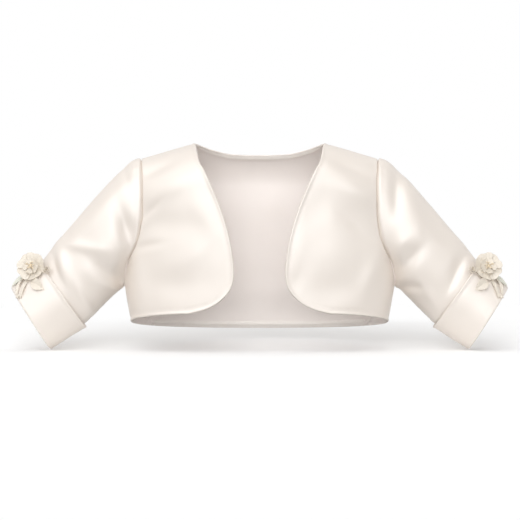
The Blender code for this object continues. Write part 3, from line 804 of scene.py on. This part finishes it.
def back_runs():
    """The runs of the back's outline, from its left shoulder round by the hem to the neckline."""
    turns = np.append(ring_turns(ARMHOLE_STEPS), 2 * math.pi)[: SIDE_SEAM_STEP - 1 : -1]
    halves = (("seam", shoulder_seam(True)), ("seam", armhole_run(turns)), ("seam", side_seam()))
    left = [(kind, to_back(run, -1)) for kind, run in halves]
    right = [(kind, to_back(run, 1)[::-1]) for kind, run in reversed(halves)]
    neckline = curve(back_neckline(), EDGE_SPACING)[::-1]
    return (*left, ("edge", curve(back_hem(), EDGE_SPACING)), *right, ("edge", neckline))


def joined(runs):
    """One closed outline from runs that follow each other, with the shared ends kept once."""
    return np.vstack([run[:-1] for _, run in runs])


def gaps_by_kind(flat, runs):
    """Distance from each point to the nearest seam and to the nearest open edge."""
    found = []
    for kind in ("seam", "edge"):
        gaps = [gap_to(flat, run) for run_kind, run in runs if run_kind == kind]
        found.append(np.min(gaps, axis=0))
    return found


def body_relief(piece, side, runs):
    """How far the cloth of a front or the back moves out at each point."""

    def relief(flat, base, gap):
        seam, edge = gaps_by_kind(flat, runs)
        distance = base[:, 0] * side
        pressed = creases(BODY_CREASES[piece], distance, base[:, 2]) * ease(edge / 9)
        sewn = ridges(SEAM_RIDGES, seam) + ridges(EDGE_RIDGES, edge)
        return unevenness(base) * ease(gap / 8) - pressed + sewn - 0.2

    return relief


def front(word, side, material, lining):
    """One front."""
    runs = front_runs()

    def place(points):
        return body(side, points[..., 0], points[..., 1])

    name = f"front_{word}"
    shape = patch(joined(runs), place, -side, SHELL, body_relief(name, side, runs))
    made = add(f"{name}_cloth", *shape, material, "satin", lining)
    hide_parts(name)


def back_panel(material, lining):
    runs = back_runs()
    shape = patch(joined(runs), back, 1, SHELL, body_relief("back", 1, runs))
    made = add("back_cloth", *shape, material, "satin", lining)
    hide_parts("back")
    return runs


def band(node, edge, width, into, runs, material):
    """A facing inside the back along one of its edges, on the side that the sign of into gives."""
    run = curve(edge, EDGE_SPACING)[1:-1]
    polygon = np.vstack([run + (0, BAND_INSET * into), (run + (0, width * into))[::-1]])
    above = body_relief("back", 1, runs)

    def relief(flat, base, gap):
        return above(flat, base, gap) - SHELL - 0.12 + 0.18 * bump(gap - 1.2, 0.8)

    shape = patch(polygon, back, 1, BAND_SHELL, relief, 1.6, EDGE_ROWS[:4])
    made = add(f"{node}_cloth", *shape, material, "satin")
    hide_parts(node)


def between(upper_x, upper_z, lower_x, lower_z, up):
    """Distance from the middle and height of a ring's points, from its upper and its lower edge."""
    x = (upper_x + lower_x) / 2 + (upper_x - lower_x) / 2 * up
    z = (upper_z + lower_z) / 2 + (upper_z - lower_z) / 2 * up
    return x, z


def sleeve(side, share, turn):
    """Points of the sleeve without its creases, at a share of its length and a turn from the top forward."""
    table = np.array(SLEEVE_RINGS, float)
    upper_x, upper_z, lower_x, lower_z, depth = [
        smooth(np.stack([table[:, 0], table[:, i]], axis=-1), share) for i in range(1, 6)
    ]
    up, forward = np.cos(turn), np.sin(turn)
    x, z = between(upper_x, upper_z, lower_x, lower_z, up)
    ring = np.stack([side * x, -depth * forward, z], axis=-1)
    seam = armhole(turn % (2 * math.pi))
    start_x, start_z = between(*table[0, 1:5], up)
    start = np.stack([side * start_x, -table[0, 5] * forward, start_z], axis=-1)
    fade = np.clip(1 - share / SLEEVE_CAP_SHARE, 0, 1) ** 2
    return ring + (body(side, seam[..., 0], seam[..., 1]) - start) * fade[..., None]


def sleeve_relief(side, points, share, turn, from_seam):
    """How far the sleeve's cloth moves out."""
    word = "left" if side < 0 else "right"
    forward = np.sin(turn)
    total = np.zeros(points.shape[:-1])
    for face, toward in (("front", forward), ("back", -forward)):
        pressed = creases(SLEEVE_CREASES[word, face], side * points[..., 0], points[..., 2])
        total += pressed * ease(0.5 + FOLDS_TURN_FADE * toward)
    fade = ease(share / FOLDS_FROM_SHARE) * ease((FOLDS_TO_SHARE - share) / FOLDS_FADE_SHARE)
    ridge = ridges(SLEEVE_SEAM_RIDGES, from_seam)
    top = np.clip(np.cos(turn), 0, 1) ** 2
    eased = 0.22 * np.sin(26 * turn) * bump(from_seam - 4.0, 4.0) * top
    return unevenness(points) * fade - total * fade + ridge + eased


def allowance(side, turns):
    """Points on the body for the sleeve's seam allowance, and the body's normals along the seam."""

    def place(points):
        return body(side, points[..., 0], points[..., 1])

    seam = armhole(turns)
    way = unit(np.roll(seam, -1, axis=0) - np.roll(seam, 1, axis=0))
    beside = np.stack([way[:, 1], -way[:, 0]], axis=-1)
    beside *= np.sign(np.sum(beside * (seam - seam.mean(axis=0))))
    rows = []
    for under, out, into in ALLOWANCE_ROWS:
        flat = seam + beside * under
        normal = normals_of(place, flat) * -side
        rows.append((place(flat) + normal * out, place(flat) + normal * into))
    return rows, normals_of(place, seam) * -side


def sleeve_cloth(word, side, material, lining):
    turns = ring_turns(SLEEVE_TURNS)
    length = SLEEVE_LENGTH_UNDER + (SLEEVE_LENGTH_TOP - SLEEVE_LENGTH_UNDER) * (1 + np.cos(turns)) / 2

    def place(points):
        return sleeve(side, points[..., 0] / SHARE_SCALE, points[..., 1] / TURN_SCALE)

    rows, body_normal = allowance(side, turns)
    outer = [out for out, _ in rows]
    inner = [into for _, into in rows]
    for step in np.linspace(0, 1, SLEEVE_ROWS) ** 1.25:
        from_seam = step * SLEEVE_END * SLEEVE_LENGTH_UNDER
        blend = ease(step / 0.5)
        share = (1 - blend) * from_seam / length + blend * step * SLEEVE_END
        flat = np.stack([share * SHARE_SCALE, turns * TURN_SCALE], axis=-1)
        points = place(flat)
        shared = bump(from_seam, SEAM_BLEND)
        normal = unit(normals_of(place, flat) * -side * (1 - shared) + body_normal * shared)
        out = sleeve_relief(side, points, share, turns, share * length)[:, None]
        outer.append(points + normal * out)
        inner.append(points + normal * (out - SHELL))
    made = tube(f"sleeve_{word}_cloth", outer + inner[::-1], material, "satin", lining)
    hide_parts(f"sleeve_{word}")


def cuff(side, along, turn, inward=0.0):
    """Points of the cuff at a distance from its free edge, at a turn as on the sleeve, moved inward."""
    share = np.asarray(along, float) / CUFF_DEPTH
    upper_x, upper_z, lower_x, lower_z, depth = [a + (b - a) * share for a, b in zip(CUFF_FREE, CUFF_FOLD)]
    half = np.hypot(upper_x - lower_x, upper_z - lower_z) / 2
    x, z = between(upper_x, upper_z, lower_x, lower_z, (half - inward) / half * np.cos(turn))
    y = -(depth - inward) * np.sin(turn)
    return np.stack([side * x, y, z], axis=-1)


def cuff_profile():
    """Rows of distance from the fold and distance inward, round the cuff's cross section."""
    half, fold = CUFF_SHELL / 2, CUFF_FOLD_RADIUS
    angles = np.linspace(math.pi, 0, 9)
    rows = [(CUFF_DEPTH - half + half * math.sin(a), half - half * math.cos(a)) for a in angles]
    rows += [(from_fold, 0.0) for from_fold in np.linspace(CUFF_DEPTH - CUFF_MARGIN, fold, 32)]
    rows += [(fold - fold * math.sin(a), fold - fold * math.cos(a)) for a in np.linspace(0, math.pi, 14)[1:]]
    rows += [(2.8, 2 * fold), (3.0, 2 * fold - 0.75), (2.8, 2 * fold - CUFF_SHELL)]
    rows += [(fold - 0.2, fold + 0.1), (fold + 0.6, CUFF_SHELL)]
    rows += [(from_fold, CUFF_SHELL) for from_fold in np.linspace(fold + 3, CUFF_DEPTH - CUFF_MARGIN, 20)]
    return rows


def cuff_cloth(word, side, material):
    turns = ring_turns(CUFF_TURNS)
    rows = []
    for from_fold, inward in cuff_profile():
        along = CUFF_DEPTH - from_fold
        points = cuff(side, along, turns, inward)
        wave = 0.35 * np.sin(2 * turns + side * 0.6) * bump(along - 20, 12) + unevenness(points) * 0.7
        edge = ridges(CUFF_EDGE_RIDGES, along)
        points = points + (cuff(side, along, turns, -1.0) - cuff(side, along, turns)) * (wave + edge)[:, None]
        rows.append(points)
    made = tube(f"cuff_{word}_cloth", rows, material, "satin")
    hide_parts(f"cuff_{word}")


def on_cuff(along, turn):
    """Distance from the cuff's free edge and distance round it."""
    return along, math.radians(turn) * TURN_SCALE


def cuff_place(side):
    """The function that takes such pairs to points."""

    def place(points):
        return cuff(side, points[..., 0], points[..., 1] / TURN_SCALE)

    return place


def spot_on_cuff(side, along, turn):
    """A point of the cuff and the direction that it faces."""
    flat = np.array([on_cuff(along, turn)])
    place = cuff_place(side)
    return place(flat)[0], -side * normals_of(place, flat)[0]


def across(facing, side):
    """Two directions across a flower or bud: toward the body, and up."""
    inward = unit(np.cross(facing, (0, 0, 1))) * side
    return inward, np.cross(inward, facing) * side


def petal(centre, facing, side, turn, length, half_width, cup, curl, ruffle):
    """Points and faces of one petal. Its left edge lies under the petal before it."""
    inward, up = across(facing, side)
    out = inward * math.cos(turn) + up * math.sin(turn)
    beside = up * math.cos(turn) - inward * math.sin(turn)
    half = np.array(PETAL_OUTLINE) * (half_width, length)
    outline = curve(np.vstack([half, (half * (-1, 1))[-2::-1]]), PETAL_SPACING)

    def place(points):
        u, v = points[..., 0] / half_width, points[..., 1] / length
        fan = np.arctan2(points[..., 0], points[..., 1] + PETAL_FAN)
        rise = cup * np.clip(v, 0, 2) ** 1.6 + PETAL_LAP * u
        rise += curl * np.clip((v - 0.62) / 0.38, 0, 2) ** 2 * (1 - 0.3 * u * u)
        rise += ruffle * v * v * np.sin(RUFFLES * fan + 2.1 * turn)
        rise += PLEAT * np.cos(PLEATS * fan) * np.clip(4 * v * (1 - v), 0, 1)
        from_centre = PETAL_ROOT + points[..., 1]
        return centre + from_centre[..., None] * out + points[..., :1] * beside + rise[..., None] * facing

    return patch(outline, place, side, PETAL_SHELL, level, PETAL_SPACING, PETAL_EDGE_ROWS)


def strand(run, radii, sides=8):
    """Points and faces of a closed round strand along a run of points, with a radius at each."""
    run = np.asarray(run, float)
    way = unit(np.gradient(run, axis=0))
    first = unit(np.cross(way, (0.31, 0.87, 0.38)))
    second = np.cross(way, first)
    angles = ring_turns(sides)
    rings = [
        point + radius * (np.outer(np.cos(angles), a) + np.outer(np.sin(angles), b))
        for point, radius, a, b in zip(run, radii, first, second)
    ]
    faces = [
        [i * sides + k, i * sides + (k + 1) % sides, (i + 1) * sides + (k + 1) % sides, (i + 1) * sides + k]
        for i in range(len(run) - 1)
        for k in range(sides)
    ]
    faces.append(list(range(sides))[::-1])
    faces.append([(len(run) - 1) * sides + k for k in range(sides)])
    return np.vstack(rings), faces


def flower_heart(base, facing, side):
    """A small stalk with a tuft of stamens, each with a bead at its end, round a larger bead."""
    inward, up = across(facing, side)
    angles = np.linspace(0, math.pi, 9)
    heights, radii = zip(*STALK)
    parts = [strand([base + facing * height for height in heights], radii, 16)]
    bead = [base + facing * (9.4 - 1.5 * math.cos(a)) for a in angles]
    parts.append(strand(bead, 1.5 * np.sin(angles) + 0.02, 14))
    for i in range(STAMENS):
        turn = i * 2 * math.pi / STAMENS + 0.3 * math.sin(2.7 * i)
        out = inward * math.cos(turn) + up * math.sin(turn)
        reach = 3.0 + 0.7 * math.sin(1.9 * i + 0.4)
        top = 11.6 + 0.5 * math.cos(2.3 * i)
        run = [
            base + out * reach * t**1.3 + facing * (STAMEN_FOOT + (top - STAMEN_FOOT) * t)
            for t in np.linspace(0.15, 1, 7)
        ]
        parts.append(strand(run, [STAMEN_RADIUS] * len(run), 6))
        tip = unit(run[-1] - run[-2])
        bead = [run[-1] + tip * (0.5 - 0.8 * math.cos(a)) for a in angles]
        parts.append(strand(bead, 0.75 * np.sin(angles) + 0.02, 10))
    return joined_patches(parts)


def rosette(base, facing, side):
    """A strip of cloth wound into a small rose, its upper edge turned outward."""
    inward, up = across(facing, side)
    turns_end = ROSE_TURNS * 2 * math.pi
    length = ROSE_START * turns_end + ROSE_GROWTH * turns_end**2 / 2

    def place(points):
        run = np.clip(points[..., 0], 0, None)
        turn = (-ROSE_START + np.sqrt(ROSE_START**2 + 2 * ROSE_GROWTH * run)) / ROSE_GROWTH
        share = points[..., 1] / ROSE_HEIGHT
        flare = 0.75 * np.clip(share, 0, 1) ** 3 + 0.35 * np.sin(2.5 * turn + 0.8) * share**2
        radius = ROSE_START + ROSE_GROWTH * turn - 0.4 * (1 - share) + flare * turn / turns_end
        sunk = 0.9 * turn / turns_end
        rise = 0.3 + share * (ROSE_HEIGHT - sunk + 0.3 * np.cos(2.5 * turn))
        out = np.cos(turn)[..., None] * inward + np.sin(turn)[..., None] * up
        return base + radius[..., None] * out + rise[..., None] * facing

    foot = [(0.3, 0.1), (length - 0.4, 0.1), (length, 0.9)]
    corners = [*foot, (length - 1.2, ROSE_HEIGHT), (0.6, ROSE_HEIGHT)]
    outline = []
    for a, b in zip(corners, corners[1:] + corners[:1]):
        steps = max(1, round(math.hypot(b[0] - a[0], b[1] - a[1]) / ROSE_SPACING))
        outline += [np.array(a) + (np.array(b) - a) * i / steps for i in range(steps)]

    return patch(np.array(outline), place, side, ROSE_SHELL, level, ROSE_SPACING, (0.1, 0.25))


def leaf(side, root, tip, half_width, fold, lift):
    """A pointed leaf between two spots on the cuff, folded along its middle, with its tip lifted."""
    root, tip = np.array(on_cuff(*root)), np.array(on_cuff(*tip))
    way = tip - root
    length = np.linalg.norm(way)
    along = way / length
    beside = np.array([-along[1], along[0]])
    share = np.linspace(0, 1, LEAF_POINTS)[:, None]
    width = half_width * (LEAF_STEM * (1 - share) + (1 - LEAF_STEM) * np.sin(math.pi * share**0.8))
    one = root + way * share + beside * width
    other = root + way * share - beside * width
    outline = np.vstack([one, other[-2:0:-1]])

    def relief(flat, base, gap):
        from_root = flat - root
        at = from_root @ along / length
        off = from_root @ beside
        aside = np.abs(off)
        slant = aside * VEIN_SLANT - from_root @ along
        veins = VEIN_DEPTH * np.cos(2 * math.pi * slant / VEIN_SPACING) * ease(aside / 1.5)
        midrib = MIDRIB[0] * bump(off, MIDRIB[1])
        return LEAF_GAP + fold * aside / half_width + lift * at**2 - midrib + veins

    return patch(outline, cuff_place(side), -side, LEAF_SHELL, relief, TRIM_SPACING, PETAL_EDGE_ROWS)


def ribbon(side, half_width, stops, arch, twist):
    """A ribbon tail on the cuff through three spots, arched and slightly twisted."""
    run = curve([on_cuff(*stop) for stop in stops], TRIM_SPACING)
    way = unit(np.gradient(run, axis=0))
    beside = np.stack([-way[:, 1], way[:, 0]], axis=-1)
    length = TRIM_SPACING * (len(run) - 1)
    narrow = 1 - 0.35 * np.linspace(0, 1, len(run))[:, None] ** 2
    one, other = run + beside * half_width * narrow, run - beside * half_width * narrow
    outline = np.vstack([one, other[::-1]])

    def relief(flat, base, gap):
        nearest = np.argmin(np.linalg.norm(flat[:, None] - run[None], axis=2), axis=1)
        at = nearest / (len(run) - 1)
        off = np.sum((flat - run[nearest]) * beside[nearest], axis=1) / half_width
        rise = arch * np.sin(math.pi * at) ** 0.8 + twist * off * np.sin(2 * math.pi * at + 0.6)
        return 0.75 + rise + 0.35 * off**2 + 0.06 * np.cos(2 * math.pi * at * length / 3.1)

    return patch(outline, cuff_place(side), -side, LEAF_SHELL, relief, TRIM_SPACING, PETAL_EDGE_ROWS)


def knot(side, along, turn):
    """A small tied knot of ribbon: two crossed turns of a strand."""
    spot, normal = spot_on_cuff(side, along, turn)
    inward, up = across(normal, side)
    parts = []
    for tilt, radius, thick in ((0.5, 1.5, 0.85), (2.1, 1.25, 0.75)):
        a = inward * math.cos(tilt) + up * math.sin(tilt)
        turns = np.linspace(0.2, 2 * math.pi - 0.2, 21)
        run = [spot + normal * (1.5 + 0.8 * math.sin(t)) + a * radius * math.cos(t) for t in turns]
        parts.append(strand(run, [thick] * 21, 10))
    return joined_patches(parts)


def ornament(word, side, petals, greenish, heart):
    """The flower, its rosebud, two leaves and two ribbon tails on one cuff."""
    spot, normal = spot_on_cuff(side, FLOWER_ALONG, FLOWER_TURN)
    tilt = math.radians(FLOWER_TILT)
    facing = unit(math.sin(tilt) * np.array(FLOWER_LEAN) * (side, 1, 1) + (0, -math.cos(tilt), 0))
    base = spot + normal * FLOWER_CLEARANCE
    for name, height, length, half_width, cup, flat, rows in PETAL_RINGS:
        centre = base + facing * height
        parts = [
            petal(centre, facing, side, math.radians(turn), length * share, half_width, cup, curl, ruffle)
            for turn, share, curl, ruffle in rows
        ]
        made = add(f"{name}_{word}_cloth", *joined_patches(parts), petals, "petal_cloth")
        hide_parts(f"{name}_{word}")
    made = add(f"stamens_{word}", *flower_heart(base, facing, side), heart, "flower_centre")
    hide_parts(f"flower_centre_{word}")
    spot, normal = spot_on_cuff(side, BUD_ALONG, BUD_TURN)
    shape = rosette(spot + normal * BUD_GAP, normal, side)
    made = add(f"rosebud_{word}_cloth", *shape, petals, "petal_cloth")
    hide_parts(f"bud_{word}")
    for name, half_width, root, tip, fold, lift in LEAVES:
        shape = leaf(side, root, tip, half_width, fold, lift)
        cloth = greenish if name == "leaf_outer" else petals
        made = add(f"{name}_{word}_cloth", *shape, cloth, "petal_cloth")
        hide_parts(f"{name}_{word}")
    for name, half_width, arch, twist, *stops in RIBBONS:
        shape = ribbon(side, half_width, stops, arch, twist)
        made = add(f"{name}_{word}_cloth", *shape, petals, "petal_cloth")
        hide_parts(f"{name}_{word}")
    made = add(f"ribbon_knot_{word}", *knot(side, *KNOT_AT), petals, "petal_cloth")


def grey(value):
    return (value, value, value, 1)


def feed(tree, socket, value):
    """Gives an input socket a plain value, or a link from another socket."""
    if isinstance(value, bpy.types.NodeSocket):
        tree.links.new(value, socket)
    else:
        socket.default_value = value


def set_inputs(node, values):
    for name, value in values.items():
        node.inputs[name].default_value = value


def mixed(tree, kind, by, first, second):
    """A mix between two values or colours, each a plain one or a socket."""
    node = tree.nodes.new("ShaderNodeMix")
    node.data_type = kind
    sockets, output = {"FLOAT": ((2, 3), 0), "RGBA": ((6, 7), 2)}[kind]
    feed(tree, node.inputs[0], by)
    for socket, value in zip(sockets, (first, second)):
        feed(tree, node.inputs[socket], value)
    return node.outputs[output]


def computed(tree, operation, *values):
    """The output of a math node on one or two plain values or sockets."""
    node = tree.nodes.new("ShaderNodeMath")
    node.operation = operation
    for socket, value in zip(node.inputs, values):
        feed(tree, socket, value)
    return node.outputs["Value"]


def faded(tree, value, start, full, top=1.0):
    """A socket that rises smoothly from 0 to top while another goes from start to full."""
    node = tree.nodes.new("ShaderNodeMapRange")
    node.interpolation_type = "SMOOTHSTEP"
    set_inputs(node, {"From Min": start, "From Max": full, "To Max": top})
    feed(tree, node.inputs["Value"], value)
    return node.outputs["Result"]


def new_material(name):
    made = bpy.data.materials.new(name)
    made.use_nodes = True
    return made, made.node_tree, made.node_tree.nodes["Principled BSDF"]


SATIN_FINISH = {"Roughness": 0.46, "Specular IOR Level": 1.0, "Sheen Weight": 0.1, "Sheen Roughness": 0.4}
SATIN_CLOUDS = {"Scale": 22.0, "Detail": 2.0}
SATIN_RIBS = {"Scale": 520.0, "Distortion": 2.0, "Detail": 1.0}
RIB_RELIEF = {"Strength": 0.05, "Distance": 0.0001}
DARKER_SHARE = 0.985


def satin(name, colour, ior):
    """Duchess satin: a soft broad sheen over a very fine ribbed weave."""
    made, tree, shader = new_material(name)
    where = tree.nodes.new("ShaderNodeTexCoord").outputs["Object"]
    clouds = tree.nodes.new("ShaderNodeTexNoise")
    ribs = tree.nodes.new("ShaderNodeTexWave")
    ribs.bands_direction = "Z"
    raised = tree.nodes.new("ShaderNodeBump")
    set_inputs(shader, {**SATIN_FINISH, "IOR": ior})
    set_inputs(clouds, SATIN_CLOUDS)
    set_inputs(ribs, SATIN_RIBS)
    set_inputs(raised, RIB_RELIEF)
    low, high = [tuple(value * share for value in colour) + (1,) for share in (DARKER_SHARE, 1.0)]
    feed(tree, clouds.inputs["Vector"], where)
    feed(tree, ribs.inputs["Vector"], where)
    feed(tree, shader.inputs["Base Color"], mixed(tree, "RGBA", clouds.outputs["Fac"], low, high))
    feed(tree, raised.inputs["Height"], ribs.outputs["Fac"])
    feed(tree, shader.inputs["Normal"], raised.outputs["Normal"])
    return made


def paper(name):
    """The floor's paper. It looks white, and under and in front of the jacket painted shade makes it throw
    less light back.
    """
    made, tree, shader = new_material(name)
    set_inputs(shader, {"Roughness": 0.9, "Specular IOR Level": 0.0, "Emission Color": grey(1.0)})
    split = tree.nodes.new("ShaderNodeSeparateXYZ")
    feed(tree, split.inputs[0], tree.nodes.new("ShaderNodeTexCoord").outputs["Object"])
    deep = split.outputs["Y"]
    # Painted shade in the light the floor throws back: a strip in front of the jacket and a patch under the
    # body
    in_front = [faded(tree, deep, start * MM, full * MM) for start, full in PAINTED_SHADE_IN_FRONT]
    away = [computed(tree, "ABSOLUTE", split.outputs[axis]) for axis in ("X", "Y")]
    below = [faded(tree, value, start * MM, full * MM) for value, (start, full) in zip(away, PAINTED_SHADE_UNDER_BODY)]
    painted_shade = computed(tree, "MAXIMUM", computed(tree, "MULTIPLY", *in_front), computed(tree, "MULTIPLY", *below))
    seen = tree.nodes.new("ShaderNodeLightPath").outputs["Is Camera Ray"]
    # Thrown light is bright in the open and falls to painted shade in those places
    thrown = mixed(tree, "RGBA", painted_shade, grey(FLOOR_BRIGHT), grey(FLOOR_PAINTED_SHADE))
    feed(tree, shader.inputs["Base Color"], mixed(tree, "RGBA", seen, thrown, grey(FLOOR_SEEN)))
    feed(tree, shader.inputs["Emission Strength"], mixed(tree, "FLOAT", seen, 0.0, FLOOR_GLOW))
    return made


SKY_LIGHTS = (
    # direction, cosine where it starts, cosine where it is full, light on a surface that faces it
    ((-0.30, -0.80, 0.95), 0.78, 0.95, 0.31),
    ((0.0, -1.0, 0.08), 0.68, 0.97, 0.30),
    ((-0.16, -1.0, 0.06), 0.965, 0.995, 0.12),
    ((0.15, -1.0, 0.06), 0.965, 0.995, 0.12),
    ((-0.1, -0.60, 1.0), 0.62, 0.94, 0.30),
    ((-1.0, -0.48, 0.20), 0.58, 0.95, 0.30),
    ((1.0, -0.55, 0.16), 0.60, 0.95, 0.26),
    ((0.0, 1.0, 0.05), -0.05, 0.35, 1.15),
)
SKY_BASE = 0.09


def studio():
    """A white room with broad soft lights, made in the world, so that the whole floor gets the same light."""
    world = bpy.data.worlds.new("studio")
    bpy.context.scene.world = world
    world.use_nodes = True
    tree = world.node_tree
    shown = tree.nodes["Background"]
    where = tree.nodes.new("ShaderNodeTexCoord").outputs["Generated"]
    total = SKY_BASE
    for direction, start, full, light in SKY_LIGHTS:
        share_of_sky = 2 * math.pi * (1 - (start + full) / 2)
        facing = tree.nodes.new("ShaderNodeVectorMath")
        facing.operation = "DOT_PRODUCT"
        facing.inputs[1].default_value = tuple(Vector(direction).normalized())
        feed(tree, facing.inputs[0], where)
        lobe = faded(tree, facing.outputs["Value"], start, full, light * math.pi / share_of_sky)
        total = computed(tree, "ADD", lobe, total)
    seen = tree.nodes.new("ShaderNodeLightPath").outputs["Is Camera Ray"]
    feed(tree, shown.inputs["Strength"], mixed(tree, "FLOAT", seen, total, 1.0))
    shown.inputs["Color"].default_value = grey(1.0)


def floor():
    """A plain pale floor, a hair under the cuffs' lowest point, that rises a little behind the jacket."""
    lowest = CAD_BOX[0][2] / MM - FLOOR_GAP
    near, far = FLOOR_ENDS
    depths = [near, *np.linspace(FLOOR_PROFILE[0][0], FLOOR_PROFILE[-1][0], FLOOR_STEPS), far]
    heights = lowest + smooth(FLOOR_PROFILE, depths)
    points = [(x, y, z) for y, z in zip(depths, heights) for x in (-FLOOR_HALF, FLOOR_HALF)]
    faces = [(2 * i, 2 * i + 1, 2 * i + 3, 2 * i + 2) for i in range(len(depths) - 1)]
    mesh = bpy.data.meshes.new("floor")
    mesh.from_pydata((np.array(points) * MM).tolist(), [], faces)
    mesh.shade_smooth()
    mesh.materials.append(paper("floor_paper"))
    made = bpy.data.objects.new("floor", mesh)
    bpy.context.scene.collection.objects.link(made)


def camera():
    data = bpy.data.cameras.new("camera")
    data.sensor_width = SENSOR
    data.lens = SENSOR * CAMERA_DISTANCE / PICTURE_WIDTH
    data.clip_end = 100
    made = bpy.data.objects.new("camera", data)
    made.location = (PICTURE_MIDDLE_X * MM, -CAMERA_DISTANCE * MM, PICTURE_MIDDLE_Z * MM)
    made.rotation_euler = (math.pi / 2, 0, 0)
    bpy.context.scene.collection.objects.link(made)
    bpy.context.scene.camera = made


camera()
studio()
floor()
bpy.context.scene.view_settings.view_transform = "Standard"

SATIN = satin("ivory_satin", (0.795, 0.717, 0.643), 2.0)
# The lining on the inner faces is a lighter copy of the satin: painted light that brightens the shaded inside
# of the jacket
LINING_PAINTED_LIGHT = satin("ivory_lining_painted_light", (0.97, 0.90, 0.855), 1.5)
PETAL_CLOTH = satin("petal_cloth", (0.76, 0.69, 0.59), 1.6)
LEAF_CLOTH = satin("leaf_cloth", (0.75, 0.75, 0.65), 1.6)
HEART = satin("stamens", (0.80, 0.67, 0.48), 1.5)
# The facing bands inside the back are as pale as the lining: painted light on the shaded inside
FACING_PAINTED_LIGHT = satin("pale_facing_painted_light", (0.97, 0.91, 0.85), 1.7)
for WORD, SIDE in SIDES:
    sleeve_cloth(WORD, SIDE, SATIN, LINING_PAINTED_LIGHT)
    front(WORD, SIDE, SATIN, LINING_PAINTED_LIGHT)
    cuff_cloth(WORD, SIDE, SATIN)
    ornament(WORD, SIDE, PETAL_CLOTH, LEAF_CLOTH, HEART)
BACK_RUNS = back_panel(SATIN, LINING_PAINTED_LIGHT)
band("back_neck_band", back_neckline(), NECK_BAND_WIDTH, 1, BACK_RUNS, FACING_PAINTED_LIGHT)
band("back_hem_band", back_hem(), HEM_BAND_WIDTH, -1, BACK_RUNS, FACING_PAINTED_LIGHT)
